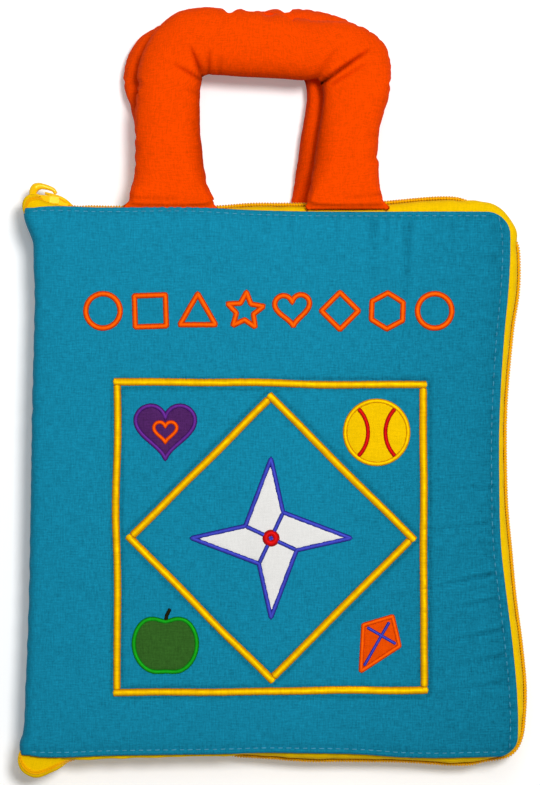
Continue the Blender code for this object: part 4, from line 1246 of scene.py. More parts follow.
def make_shape_row():
    """Evenly spaced plain outline shapes in orange satin, above the borders."""
    half = (ROW_SIZE - ROW_STROKE) / 2
    shapes = (
        circle(half), regular(4, half * 1.28, 45), regular(3, half * 1.2, 90) - np.array([0, 1.6]),
        star_outline(half * 1.1, half * 0.52), heart_outline(half * 1.08), regular(4, half * 1.08, 90),
        regular(6, half * 1.05, 90), circle(half),
    )
    places = np.linspace(ROW_LEFT, ROW_RIGHT, len(shapes))
    bands = []
    for k, (shape, x) in enumerate(zip(shapes, places)):
        lean = (-3, 2, 0, -4, 3, 0, -2, 0)[k]
        outline = turned(shape, lean, (x, ROW_Y))
        bands.append(satin_band(outline, ROW_STROKE, 0.95, closed=True, seed=101 + k))
    return make_satin("shape_row_satin", bands, MATERIAL["orange_satin"])


# Handles


def flat_handle(radius):
    """Flat cloth of a handle, a square arch that is wider than the stuffed handle."""
    half = HANDLE_CLOTH_WIDTH / 2
    left, right = -46.6, 36.6
    top = 203.5
    bar_half = half + 2.0
    outline = [(right + half, HANDLE_BASE_Y)]
    outline += list(circle(radius, (right + half - radius, top + bar_half - radius), 14, 0, math.pi / 2))
    outline += list(circle(radius, (left - half + radius, top + bar_half - radius), 14, math.pi / 2, math.pi))
    outline += [(left - half, HANDLE_BASE_Y), (left + half, HANDLE_BASE_Y), (left + half, top - bar_half)]
    outline += [(right - half, top - bar_half), (right - half, HANDLE_BASE_Y)]
    return np.array(outline)


def stuff(points, faces, on_edge, swell):
    """Two layers of cloth sewn along their edge and blown up: simulated points and both layers' faces."""
    away = np.minimum(edge_distance(points, points[on_edge]), 6)
    z = np.where(on_edge, 0, 0.5 + 0.25 * away)
    free, all_faces, flat = two_layers(points, faces, on_edge)
    both = np.vstack([np.c_[points, z], np.c_[points[free], -z[free]]])
    piece = add_object("stuffing", new_mesh("stuffing", both * SIMULATION_SCALE, all_faces))
    sewn = piece.vertex_groups.new(name="sewn")
    sewn.add(np.where(both[:, 1] < HANDLE_BASE_Y + 0.01)[0].tolist(), 1.0, "REPLACE")
    cloth = piece.modifiers.new("cloth", "CLOTH")
    for key, value in HANDLE_CLOTH.items():
        setattr(cloth.settings, key, value)
    cloth.settings.vertex_group_mass = "sewn"
    cloth.settings.use_pressure = True
    cloth.settings.uniform_pressure_force = swell
    cloth.settings.effector_weights.gravity = 0
    cloth.collision_settings.use_collision = False
    cloth.point_cache.frame_end = SIMULATION_FRAMES
    for step in range(1, SIMULATION_FRAMES + 1):
        bpy.context.scene.frame_set(step)
    found = piece.evaluated_get(bpy.context.evaluated_depsgraph_get()).to_mesh()
    blown = read_vectors(found.vertices, "co")
    bpy.data.objects.remove(piece)
    bpy.context.scene.frame_set(1)
    return blown / SIMULATION_SCALE / MM, all_faces, flat


def reach_at(angles, outline, centre, furthest):
    """How far a ray from the centre goes to the outline, at each angle."""
    found = np.zeros(len(angles))
    ends = np.asarray(outline, float) - centre
    for k, angle in enumerate(angles):
        ray = np.array([math.cos(angle), math.sin(angle)])
        hits = []
        for a, b in zip(ends, ends[1:]):
            side = b - a
            cross = ray[0] * side[1] - ray[1] * side[0]
            if abs(cross) < 1e-9:
                continue
            far = (a[0] * side[1] - a[1] * side[0]) / cross
            share = (a[0] * ray[1] - a[1] * ray[0]) / cross
            if far > 0 and -1e-6 <= share <= 1 + 1e-6:
                hits.append(far)
        found[k] = (max(hits) if furthest else min(hits)) if hits else np.nan
    good = ~np.isnan(found)
    return np.interp(angles, angles[good], found[good])


def fit_outline(points, outer, inner, centre):
    """Move points towards or away from a centre so that the arch has the given outer and inner outlines.

    The change is smoothed along the arch, so that the small wrinkles of its edges stay.
    """
    offset = points[:, :2] - centre
    angle = np.clip(np.arctan2(offset[:, 1], offset[:, 0]), 0, math.pi)
    reach = np.linalg.norm(offset, axis=1)
    bins = 90
    centres = (np.arange(bins) + 0.5) * math.pi / bins
    index = np.clip((angle / math.pi * bins).astype(int), 0, bins - 1)
    kernel = np.exp(-((np.arange(-4, 5) / 1.8) ** 2))
    kernel /= kernel.sum()

    def present(pick):
        filled_bins = [k for k in range(bins) if (index == k).any()]
        return np.interp(centres, centres[filled_bins], [pick(reach[index == k]) for k in filled_bins])

    def smoothed(change):
        return np.convolve(np.pad(change, 4, mode="edge"), kernel, "valid")

    far, near = present(np.max), present(np.min)
    grow_far = smoothed(reach_at(centres, outer, centre, True) - far)
    grow_near = smoothed(reach_at(centres, inner, centre, False) - near)
    outside = np.interp(angle, centres, far)
    within = np.interp(angle, centres, near)
    share = np.clip((reach - within) / (outside - within), 0, 1)
    change = (1 - share) * np.interp(angle, centres, grow_near) + share * np.interp(angle, centres, grow_far)
    moved = points.copy()
    moved[:, :2] = centre + offset * ((reach + change) / reach)[:, None]
    return moved


def across_share(points, outer, inner, centre):
    """Where each point lies across the arch, from -1 on its inner outline to 1 on its outer one."""
    offset = points[:, :2] - centre
    angle = np.clip(np.arctan2(offset[:, 1], offset[:, 0]), 0, math.pi)
    angles = np.linspace(0, math.pi, 181)
    far = np.interp(angle, angles, reach_at(angles, outer, centre, True))
    near = np.interp(angle, angles, reach_at(angles, inner, centre, False))
    return np.clip((np.linalg.norm(offset, axis=1) - near) / (far - near) * 2 - 1, -1, 1)


def gathered(points, start, end, depth, reach=4.2):
    """Points drawn sideways towards a fold, so that the cloth bunches up along it."""
    start, end = np.array(start, float), np.array(end, float)
    way = (end - start) / np.linalg.norm(end - start)
    side = np.array([-way[1], way[0]])
    share = (points[:, :2] - start) @ way / np.linalg.norm(end - start)
    off = (points[:, :2] - start) @ side
    fade = np.clip((share + 0.15) / 0.2, 0, 1) * np.clip((1.1 - share) / 0.4, 0, 1)
    fade = fade * min(depth / 2, 1) * (np.abs(off) < reach)
    moved = points.copy()
    moved[:, :2] += (off * (np.abs(off) / reach - 1) * fade)[:, None] * side
    return moved


def crease(points, start, end, width, depth):
    """How far the cloth sinks along a fold from start, where it is deepest, to end, with raised sides."""
    start, end = np.array(start, float), np.array(end, float)
    way = end - start
    length = np.linalg.norm(way)
    share = (points[:, :2] - start) @ way / length ** 2
    off = (points[:, :2] - start) @ np.array([-way[1], way[0]]) / length
    fade = (1 - np.clip(share, 0, 1)) ** 0.6 * np.clip((share + 0.2) / 0.2, 0, 1)
    fade = fade * np.clip((1.05 - share) / 0.2, 0, 1)
    sharp = 1 / (1 + (off / width) ** 2)
    return depth * fade * (sharp - 0.12 * bell(np.abs(off) - 4 * width, 2.5 * width))


def refined(points, faces, extra):
    """The same surface with one subdivision: points, faces and the extra columns carried along."""
    mesh = new_mesh("refined", points, faces)
    write_vectors(mesh, "extra", extra)
    piece = add_object("refined", mesh)
    smooth = piece.modifiers.new("smooth", "SUBSURF")
    smooth.levels = 1
    found = piece.evaluated_get(bpy.context.evaluated_depsgraph_get()).to_mesh()
    places = read_vectors(found.vertices, "co")
    carried = read_vectors(found.attributes["extra"].data, "vector")
    sides = [tuple(face.vertices) for face in found.polygons]
    bpy.data.objects.remove(piece)
    return places / MM, sides, carried


def blown_cloth(points, faces, on_edge, swell):
    return stuff(points, faces, on_edge, swell)
    away = edge_distance(points, points[on_edge])
    z = 8 * np.sqrt(1 - (1 - np.clip(away / 18, 0, 1)) ** 2)
    both = np.vstack([np.c_[points, z], np.c_[points, -z]])
    return both, np.vstack([faces, faces[:, ::-1] + len(points)]), np.vstack([points, points])


def handle_height(near_base, share, sunk, base, tube_span):
    """Height of a handle's points, which rises from the sewn foot to the stuffed tube."""
    low, high = tube_span
    middle, half = (low + high) / 2, (high - low) / 2
    rise = smooth_step(near_base / HANDLE_RISE)
    z = base + (middle - base) * rise + half * share - sunk * np.clip(share * 2, 0, 1)
    tab = smooth_step((5.0 - near_base) / 3.5)
    return z * (1 - tab) + (base + np.clip(share, -1, 1) * 1.6) * tab


def handle_painted_shade(across, sunk, rise):
    """How much painted shade darkens a handle's cloth in its creases and along its inner and outer sides."""
    inward, outward = np.clip((-across - 0.3) / 0.7, 0, 1), np.clip((across - 0.3) / 0.7, 0, 1)
    return np.clip(0.2 * sunk, -0.05, 0.62) + (0.42 * inward ** 2 + 0.12 * outward ** 2) * rise


def make_handle(name, outer, inner, tube_span, base, creases, swell, corner, flip):
    """Stuffed handle: two layers of cloth blown up, then fitted to the handle's real outline and depth."""
    outline = flat_handle(corner)
    points, faces, on_edge = filled(outline, HANDLE_STEP)
    both, all_faces, flat = blown_cloth(points, faces, on_edge, swell)
    low, high = tube_span
    middle = (low + high) / 2
    for _ in range(2):
        both = fit_outline(both, at_depth(outer, middle), at_depth(inner, middle), HANDLE_CENTRE)
    away = edge_distance(flat, points[on_edge])
    both, all_faces, carried = refined(both, all_faces, np.c_[flat, away])
    flat, away = carried[:, :2], carried[:, 2]
    for start, end, _, depth in creases:
        both = gathered(both, start, end, depth)
    blown = np.clip(both[:, 2] / np.percentile(np.abs(both[:, 2]), 97), -1, 1)
    across = across_share(both, at_depth(outer, middle), at_depth(inner, middle), HANDLE_CENTRE)
    full = np.sqrt(1 - np.abs(across) ** 2.3) * np.sqrt(np.clip(away / 3.5, 0, 1))
    share = np.sign(blown) * 0.8 * full + 0.2 * blown
    if flip:
        share = -share
    near_base = both[:, 1] - HANDLE_BASE_Y
    sunk = sum(crease(both, *fold) for fold in creases) + np.zeros(len(both))
    z = handle_height(near_base, share, sunk, base, tube_span)
    offset = both[:, :2] - HANDLE_CENTRE
    reach = np.linalg.norm(offset, axis=1)
    outside = smooth_step((reach - 60) / 16) * smooth_step((both[:, 0] + 45) / 25)
    pucker = scallops(np.arctan2(offset[:, 1], offset[:, 0]) * 76) * outside
    both[:, :2] += offset / reach[:, None] * (0.32 * pucker * np.exp(-away / 2.5))[:, None]
    flare = smooth_step((5.0 - near_base) / 4) * 2.6 * leg_side(both)
    both[:, 0] += np.where(both[:, 0] < HANDLE_CENTRE[0], -flare, flare)
    both[:, 2] = np.clip(z + 0.35 * pucker * share * np.exp(-away / 5), low + 0.05, high)
    # Painted shade in the creases and along the tube's sides, kept in the 'fold' value.
    dark = handle_painted_shade(across, sunk, smooth_step(near_base / HANDLE_RISE))
    return make_piece(name, both, all_faces, MATERIAL["orange"], flat, fold=dark)


def scallops(place):
    """Rounded bulges between tight stitches along a seam, of uneven length, from -1 to 0.5."""
    uneven = place + 1.8 * ripple(5, 24.0)(place)
    return 0.5 - 1.5 * (1 - np.abs(np.sin(math.pi * uneven / 6.5))) ** 2


def leg_side(points):
    """1 on the outer side of either leg, 0 on its inner side."""
    reach = np.abs(points[:, 0] - HANDLE_CENTRE[0])
    return np.clip((reach - 28) / 28, 0, 1)


def make_handles():
    low, high = node_box("front_handle_fabric")
    front_base = FRONT_LOW + (FRONT_HIGH - FRONT_LOW) * COVER_EDGE_SHARE / 2
    front = make_handle(
        "front_handle_skin", FRONT_HANDLE_OUTER, FRONT_HANDLE_INNER, (low[2], high[2]), front_base,
        FRONT_HANDLE_CREASES, 3.0, 36.0, False,
    )
    low, high = node_box("back_handle_fabric")
    back = make_handle(
        "back_handle_skin", BACK_HANDLE_OUTER, BACK_HANDLE_INNER, (low[2], high[2]), BACK_HIGH / 2 + 0.4,
        (), 4.0, 38.0, True,
    )
    return front, back


# Zip


def edge_route():
    """The cover's edge along the zip: its places and, beside each, the zip's ridge."""
    step = 0.5
    top_x = np.arange(-84, 112, step)
    top = np.stack([top_x, top_side(top_x)], axis=1)
    right_y = np.arange(127, -129, -step)
    right = np.stack([right_side(right_y), right_y], axis=1)
    bottom_x = np.arange(114, -84, -step)
    bottom = np.stack([bottom_x, bottom_side(bottom_x)], axis=1)
    corner_x = float(right_side(124.0)) - TOP_RIGHT_RADIUS
    corner_y = float(top_side(109.0)) - TOP_RIGHT_RADIUS
    low_x = float(right_side(-125.0)) - BOTTOM_RIGHT_RADIUS
    low_y = float(bottom_side(112.0)) + BOTTOM_RIGHT_RADIUS
    first = circle(TOP_RIGHT_RADIUS, (corner_x, corner_y), 30, 0, math.pi / 2)[::-1]
    second = circle(BOTTOM_RIGHT_RADIUS, (low_x, low_y), 24, -math.pi / 2, 0)[::-1]
    parts = (
        top[top[:, 0] < corner_x], first, right[(right[:, 1] < corner_y) & (right[:, 1] > low_y)], second,
        bottom[bottom[:, 0] < low_x],
    )
    route = relaxed(resample(np.vstack(parts), ZIP_STEP))
    outward = leftward(directions(route))
    weight_top = np.clip(outward[:, 1], 0, 1) ** 2
    weight_right = np.clip(outward[:, 0], 0, 1) ** 2
    weight_bottom = np.clip(-outward[:, 1], 0, 1) ** 2
    ridge = (
        weight_top * smooth_curve(TOP_RIDGE)(route[:, 0])
        + weight_right * smooth_curve(RIGHT_RIDGE)(route[:, 1])
        + weight_bottom * smooth_curve(BOTTOM_RIDGE)(route[:, 0])
    ) / (weight_top + weight_right + weight_bottom)
    outer = at_depth(route + outward * ridge[:, None], MIDDLE_Z)
    return outer, route - outward * TAPE_INSET


def zip_lines():
    """Rows across the zip: its outer edge, its seam, and how far each row is in the end tongue, 0 to 1."""
    outer, seam = edge_route()
    rows = [np.c_[outer, seam, np.zeros(len(outer))]]
    for pixels, first, span in ((ZIP_START_PIXELS, -103.0, 7.0), (ZIP_END_PIXELS, -87.0, 12.0)):
        table = np.array(pixels)
        ends = np.c_[pixels_at_depth(table[:, :2], MIDDLE_Z), [at_pixel(*p) for p in table[:, 2:]]]
        ends = smooth_line(ends, 1.0)
        curve = np.c_[ends, smooth_step((first - ends[:, 0]) / span)]
        rows = [curve] + rows if first < -100 else rows + [curve]
    rows = relaxed(resample(np.vstack(rows), ZIP_STEP))
    return rows[:, :2], rows[:, 2:4], rows[:, 4]


def smooth_step(value):
    value = np.clip(value, 0, 1)
    return value * value * (3 - 2 * value)


def coil_cover(outer):
    """1 where the front tape hides the coil, round the top right corner and along the bottom left."""
    corner = smooth_step((outer[:, 0] - 86) / 10) * smooth_step((outer[:, 1] - 108) / 8)
    return np.maximum(corner, strip_cover(outer))


def strip_cover(outer):
    """1 along the bottom left, where the front tape is short and high, so that a slot is open below it."""
    left, right = smooth_step((outer[:, 0] + 95) / 7), smooth_step((-14 - outer[:, 0]) / 8)
    return left * right * (outer[:, 1] < -100)


def tape_section(front, length, hidden, strip, tail):
    """One row across a zip tape: each point's reach from the seam and its height."""
    steps = np.linspace(0, 1, TAPE_STEPS)
    if front:
        end = length - 2.2 + hidden * 2.1 - strip * 1.1
        low, high = MIDDLE_Z + 1.5 + hidden * 1.2 + strip * 5, FRONT_LOW - 0.35
        flat_reach, flat_z = steps * (length - 2.8), high + (TONGUE_HEIGHT - high) * steps ** 1.3
    else:
        end = length - 1.8
        low, high = MIDDLE_Z - 1.5, BACK_HIGH + 0.35
        flat_reach = np.interp(steps, TONGUE_PLACES, np.array(TONGUE_REACH) * length - TONGUE_RETURN)
        flat_z = high + (TONGUE_HEIGHT - high) * np.interp(steps, TONGUE_PLACES, TONGUE_RISE)
    turn = steps ** 1.2 * math.pi / 2
    ease = 0.6 - 0.3 * strip
    reach = end * np.sin(turn) ** ease
    z = low + (high - low) * np.cos(turn) ** ease
    return reach * (1 - tail) + flat_reach * tail, z * (1 - tail) + flat_z * tail


def make_tape(name, front):
    """Zip tape: a thin woven strip from its seam inside a cover's edge out to the coil."""
    outer, seam, tail = zip_lines()
    hidden, strip = coil_cover(outer), strip_cover(outer)
    wrinkle = ripple(201 if front else 202, 11.0)
    along = path_lengths(outer)
    bow = np.sin(math.pi * np.linspace(0, 1, TAPE_STEPS))
    rows = []
    for k in range(len(outer)):
        across = outer[k] - seam[k]
        length = np.linalg.norm(across)
        reach, z = tape_section(front, length, hidden[k], strip[k], tail[k])
        reach = reach + 0.22 * wrinkle(along[k]) * bow
        place = seam[k] + across / length * reach[:, None]
        rows.append(np.c_[place, z])
    middle = np.array(rows)
    normal = np.cross(np.gradient(middle, axis=0), np.gradient(middle, axis=1))
    normal /= np.maximum(np.linalg.norm(normal, axis=2), 1e-9)[:, :, None]
    half = TAPE_THICKNESS / 2
    ring = np.concatenate([middle + normal * half, (middle - normal * half)[:, ::-1, :]], axis=1)
    count, columns = ring.shape[:2]
    widths = path_lengths(middle[count // 2])
    cloth = np.stack(np.meshgrid(np.r_[widths, widths[::-1]], along), axis=2).reshape(-1, 2)
    faces = capped_faces(count, columns, flip=True)
    return make_piece(name, ring.reshape(-1, 3), faces, MATERIAL["tape"], cloth)


def coil_route():
    """Middle line of the closed coils, its way out from the seam, and each row's share in the tongue."""
    outer, seam, tail = zip_lines()
    outward = outer - seam
    outward /= np.linalg.norm(outward, axis=1)[:, None]
    inside = COIL_RADIUS + tail * TONGUE_COIL_INSET + coil_cover(outer) * 0.9
    return outer - outward * inside[:, None], outward, tail


def tube(centre, out, across, tall, sides=8):
    """Closed tube along a line, with its half width along out and its half height along z."""
    angles = 2 * math.pi * np.arange(sides) / sides
    flat = np.c_[out, np.zeros(len(out))]
    ring = (
        centre[:, None, :]
        + flat[:, None, :] * (across * np.cos(angles))[None, :, None]
        + np.array([0, 0, 1.0]) * (tall * np.sin(angles))[None, :, None]
    )
    count = len(centre)
    return ring.reshape(-1, 3), capped_faces(count, sides, flip=True)


def wire_skin(wire, out, radius, sides):
    """Rings of points round a wound wire's middle line."""
    ahead = np.gradient(wire, axis=0)
    ahead /= np.linalg.norm(ahead, axis=1)[:, None]
    up = np.cross(ahead, np.c_[out, np.zeros(len(wire))])
    up /= np.maximum(np.linalg.norm(up, axis=1), 1e-9)[:, None]
    beside = np.cross(ahead, up)
    angles = 2 * math.pi * np.arange(sides) / sides
    return (
        wire[:, None, :]
        + up[:, None, :] * (radius[:, None] * np.cos(angles))[:, :, None]
        + beside[:, None, :] * (radius[:, None] * np.sin(angles))[:, :, None]
    )


def make_coil(name, side):
    """One half of the zip: a nylon wire wound round a cord along the edge of its tape."""
    line, outward, tail = coil_route()
    line = line - outward * (side * 0.45 * tail)[:, None]
    lengths = path_lengths(line)
    turns = int((lengths[-1] - 6) / COIL_PITCH)
    per_turn, sides = 12, 6
    count = turns * per_turn
    phase = 2 * math.pi * np.arange(count) / per_turn + (0 if side > 0 else math.pi)
    places = 3.5 + np.arange(count) / per_turn * COIL_PITCH
    centre = np.stack([np.interp(places, lengths, line[:, k]) for k in range(2)], axis=1)
    out = np.stack([np.interp(places, lengths, outward[:, k]) for k in range(2)], axis=1)
    out /= np.linalg.norm(out, axis=1)[:, None]
    level = np.interp(places, lengths, tail)
    middle_z = (MIDDLE_Z + side) * (1 - level) + (TONGUE_HEIGHT + 0.2) * level
    thin = 1 - 0.45 * level
    wound = thin * (COIL_RADIUS - COIL_WIRE * 0.5) * np.cos(phase)
    x = centre[:, 0] + out[:, 0] * wound
    y = centre[:, 1] + out[:, 1] * wound
    z = middle_z + 0.95 * thin * np.sin(phase)
    ring = wire_skin(np.stack([x, y, z], axis=1), out, thin * COIL_WIRE, sides)
    core = tube(np.c_[centre, middle_z][::per_turn], out[::per_turn], COIL_RADIUS - COIL_WIRE, 0.8)
    points, faces = joined([(ring.reshape(-1, 3), capped_faces(count, sides)), core])
    return make_piece(name, points, faces, MATERIAL["coil"])


def swept_bar(path, width, thickness, corner=0.35):
    """Bar with rounded edges along a path in the x-y plane, with its width along z."""
    path = np.asarray(path, float)
    side = leftward(directions(path))
    share = np.linspace(0, 1, len(path))
    widths = np.interp(share, np.linspace(0, 1, np.size(width)), np.atleast_1d(width))
    depths = np.interp(share, np.linspace(0, 1, np.size(thickness)), np.atleast_1d(thickness))
    rows = []
    for place, way, half, deep in zip(path, side, widths / 2, depths / 2):
        section = (
            (deep, half - corner), (deep - corner, half), (-deep + corner, half), (-deep, half - corner),
            (-deep, -half + corner), (-deep + corner, -half), (deep - corner, -half), (deep, -half + corner),
        )
        rows.append([(place[0] + way[0] * a, place[1] + way[1] * a, b) for a, b in section])
    rows = np.array(rows)
    count, columns = rows.shape[:2]
    return rows.reshape(-1, 3), capped_faces(count, columns)


def smooth_line(points, step):
    """Smooth curve through a few points, evenly sampled."""
    points = np.asarray(points, float)
    lengths = path_lengths(points)
    slopes = np.gradient(points, lengths, axis=0)
    found = []
    for k in range(len(points) - 1):
        span = lengths[k + 1] - lengths[k]
        for t in np.linspace(0, 1, max(2, int(span / step)), endpoint=False):
            found.append(eased(t, span, points[k], points[k + 1], slopes[k], slopes[k + 1]))
    found.append(points[-1])
    return np.array(found)


def joined_solids(name, solids, material, z):
    points, faces = joined(solids)
    return make_piece(name, points + (0, 0, z), faces, material)


def seen_line(pixels, step=0.5):
    return smooth_line(pixels_at_depth(pixels, MIDDLE_Z + 2), step)


def make_slider():
    """Zip slider seen edge on: two cheeks over the coils, and the block and neck between them."""
    solids = [
        swept_bar(seen_line(OUTER_CHEEK_PIXELS), (5.0, 8.4, 8.9, 8.6, 5.0), (1.1, 1.3, 1.4, 1.5, 1.1)),
        swept_bar(seen_line(INNER_CHEEK_PIXELS), (5.0, 8.4, 8.9, 8.6, 5.0), (1.0, 1.5, 1.5, 1.4, 1.0)),
    ]
    solids.append(swept_bar(seen_line(BLOCK_PIXELS), (11.4, 12.2, 11.4), (3.7, 3.9, 3.8), 0.4))
    solids.append(swept_bar(seen_line(NECK_PIXELS), 7.0, (1.6, 2.0, 3.4, 3.4, 1.8), 0.3))
    cast = joined_solids("zip_slider_cast", solids, MATERIAL["enamel"], MIDDLE_Z)
    cast.data.shade_flat()
    return cast


def make_pull():
    """Arched pull: a loop of flat wire that stands off the slider."""
    solids = [
        swept_bar(seen_line(PULL_PIXELS, 0.35), (4.4, 5.6, 5.4, 4.8, 4.2), (3.2, 3.7, 2.5, 2.0, 1.6), 0.5),
        swept_bar(seen_line(PULL_FOOT_PIXELS, 0.35), (4.8, 4.4), (1.7, 1.1), 0.4),
    ]
    return joined_solids("zip_pull_loop", solids, MATERIAL["enamel"], MIDDLE_Z)


# Inside the book


def leaf_outline(node, margin=0.0):
    low, high = node_box(node)
    radius = 6.0 - margin
    x0, x1 = low[0] + margin * 0.2, high[0] - margin
    y0, y1 = low[1] + margin, high[1] - margin
    corner = [(x1 - radius, y0 + radius, -math.pi / 2), (x1 - radius, y1 - radius, 0)]
    outline = [(x0, y0)]
    for cx, cy, start in corner:
        outline += list(circle(radius, (cx, cy), 9, start, start + math.pi / 2))
    outline.append((x0, y1))
    return np.array(outline)


def make_leaf(index, material):
    """Padded leaf: two pages sewn along their edge, with wadding between them, and its hinge tape."""
    low = node_box(f"leaf_{index}_back_page")[0][2]
    high = node_box(f"leaf_{index}_front_page")[1][2]
    outline = leaf_outline(f"leaf_{index}_front_page")
    points, faces, on_edge = filled(outline, 3.4)
    edge = resample(outline, 2.0, closed=True)
    away = edge_distance(points, edge)
    seam = bell(away - 4.0, 1.8)
    share = 0.42 + 0.5 * np.clip(away / 6, 0, 1) ** 0.6 - 0.22 * seam
    share = np.where(on_edge, 0, share)
    bumps = 0.04 * waves(300 + index, 18)(points[:, 0], points[:, 1]) * np.clip(away / 6, 0, 1)
    half, middle = (high - low) / 2, (high + low) / 2
    free, all_faces, flat = two_layers(points, faces, on_edge)
    top = np.c_[points, middle + half * share + bumps]
    under = np.c_[points[free], middle - half * share[free] + bumps[free]]
    cloth = make_piece(f"leaf_{index}_cloth", np.vstack([top, under]), all_faces, material, flat)
    return cloth, make_leaf_rim(index, edge, half, middle), make_hinge_tape(index, middle)


def make_leaf_rim(index, path, half, middle):
    """Satin-stitched rim round a leaf's edge."""
    turn = np.linspace(-2.2, 2.2, 9)
    rise = (half * 0.34 + 0.22) * 1.15 * np.sin(turn)
    out = (-0.3 + 0.75 * np.cos(turn))[:, None]
    ways = -leftward(directions(path, True))
    rim = np.array([np.c_[place + way * out, middle + rise] for place, way in zip(path, ways)])
    faces = grid_faces(len(rim), len(turn), wrap_rows=True)
    tones = np.repeat(np.random.default_rng(index).uniform(0, 1, len(rim)), len(turn))
    name = f"leaf_{index}_rim_thread"
    return make_piece(name, rim.reshape(-1, 3), faces, MATERIAL["yellow_satin"], thread=tones)


def make_hinge_tape(index, middle):
    """Tape folded round a leaf's spine edge."""
    low, high = node_box(f"leaf_{index}_hinge_tape")
    rows = np.linspace(low[1], high[1], 90)
    turn = np.linspace(-math.pi / 2, math.pi / 2, 9)
    half = (high[2] - low[2]) / 2
    within = half - 0.3
    section = [(high[0], middle - half + 0.05)]
    section += [(low[0] + half - half * math.cos(a), middle + half * math.sin(a)) for a in turn]
    section += [(high[0], middle + half - 0.05), (high[0], middle + half - 0.35)]
    section += [(low[0] + half - within * math.cos(a), middle + within * math.sin(a)) for a in turn[::-1]]
    section += [(high[0], middle - half + 0.35)]
    tape = np.array([[(x, y, z) for x, z in section] for y in rows])
    faces = capped_faces(*tape.shape[:2], flip=True)
    cloth = np.stack(np.meshgrid(path_lengths(tape[0]), rows), axis=2).reshape(-1, 2)
    name = f"leaf_{index}_hinge_tape_cloth"
    return make_piece(name, tape.reshape(-1, 3), faces, MATERIAL["teal"], cloth)


def flat_ground(z):
    return lambda x, y: np.zeros(np.shape(x)) + z


def make_dial():
    """Dial on the first leaf: round patch, satin rim and twelve stitched marks."""
    low, high = node_box("dial_patch")
    centre = (low[:2] + high[:2]) / 2
    radius = (high[0] - low[0]) / 2
    points, faces, on_edge = filled(circle(radius, centre, 72), 2.4)
    top = np.where(on_edge, low[2], high[2])
    made = [make_piece("dial_cloth", np.c_[points, top], faces, MATERIAL["yellow_patch"], points)]
    ground = flat_ground(high[2])
    rim = satin_band(circle(radius - 0.6, centre, 90), 2.2, 0.4, closed=True, seed=401, ground=ground)
    made.append(make_satin("dial_rim_satin", [rim], MATERIAL["orange_satin"]))
    marks = []
    for k in range(12):
        a = math.pi / 6 * k
        way = np.array([math.cos(a), math.sin(a)])
        start = centre + way * (radius - (9.0 if k % 3 == 0 else 6.0))
        bar = straight(start, centre + way * (radius - 3.2))
        width = 2.0 if k % 3 == 0 else 1.4
        marks.append(satin_band(bar, width, 0.35, seed=410 + k, ground=ground, taper=0.4))
    made.append(make_satin("dial_marks_satin", marks, MATERIAL["blue_satin"]))
    return made


def make_lining(name, node, face_z, material):
    """Lining cloth inside a cover, turned under at its edges and sewn down."""
    columns, rows = int(COVER_WIDTH / LINING_STEP), int(COVER_LENGTH / LINING_STEP)
    x, y = outline_grid(1.2, columns, rows)
    bumps = 0.12 * waves(500 + len(name), 24)(x, y)
    flat = np.stack([x, y], axis=2).reshape(-1, 2)
    low, high = node_box(node)
    up = 1 if face_z > MIDDLE_Z else -1
    outer = low[2] if up > 0 else high[2]
    inner = high[2] if up > 0 else low[2]
    seen = np.c_[flat, (outer + np.maximum(bumps, 0) * up * 0.5).ravel()]
    hidden = np.c_[flat, np.full(len(flat), inner)]
    index = np.arange(rows * columns).reshape(rows, columns)
    loop = list(index[0, :]) + list(index[1:, -1]) + list(index[-1, -2::-1]) + list(index[-2:0:-1, 0])
    count = rows * columns
    faces = grid_faces(rows, columns, flip=up > 0)
    faces += [tuple(k + count for k in face[::-1]) for face in faces]
    for a, b in zip(loop, loop[1:] + loop[:1]):
        face = (a, b, b + count, a + count)
        faces.append(face if up > 0 else face[::-1])
    return make_piece(name, np.vstack([seen, hidden]), faces, material, np.vstack([flat, flat]))


def inner_wall(y, z):
    """Inside of the spine's cloth at a height: the spine bulges out between the two covers."""
    share = np.clip(np.minimum(z - 4.4, 29.6 - z) / 12.4, 0, 1)
    return spine_wall(y, share) + 0.15


def standing_strip(name, node, near, far, material):
    """Strip of cloth that stands inside the spine, between two distances that follow the spine's wall."""
    low, high = node_box(node)
    levels = np.linspace(low[2], high[2], 13)
    rows, flat = [], []
    for y in np.linspace(low[1], high[1], 90):
        outside, inside = near(y, levels), far(y, levels)
        rows.append(np.r_[np.c_[outside, levels], np.c_[inside, levels][::-1]])
        flat.append([(z, y) for z in np.r_[levels, levels[::-1]]])
    rows = np.array(rows)
    count, columns = rows.shape[:2]
    places = np.linspace(low[1], high[1], 90)[:, None] + np.zeros(columns)
    points = np.stack([rows[:, :, 0], places, rows[:, :, 1]], axis=2)
    faces = capped_faces(count, columns)
    return make_piece(name, points.reshape(-1, 3), faces, material, np.reshape(flat, (-1, 2)))


def make_spine_lining():
    """Inside cloth of the spine, and the strip that carries the leaves."""
    lining_x = node_box("spine_lining")[0][0]
    strip_low, strip_high = node_box("leaf_binding_strip")

    def wall(y, z):
        return np.maximum(lining_x, inner_wall(y, z))

    def front(y, z):
        return wall(y, z) + 0.4

    def strip_back(y, z):
        return np.maximum(strip_low[0], front(y, z) + 0.06)

    def strip_front(y, z):
        return strip_high[0] + 0 * z

    lining = standing_strip("spine_lining_cloth", "spine_lining", wall, front, MATERIAL["white"])
    node = "leaf_binding_strip"
    return lining, standing_strip("binding_strip_cloth", node, strip_back, strip_front, MATERIAL["teal"])


def replace_like(node, name, material, bevel):
    """The node's own shape with softened edges and a better finish."""
    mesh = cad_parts[node].data.copy()
    mesh.materials.clear()
    piece = add_object(name, mesh, material)
    cut = piece.modifiers.new("soft", "BEVEL")
    cut.width = bevel * MM
    cut.segments = 3
    return piece


# Stage


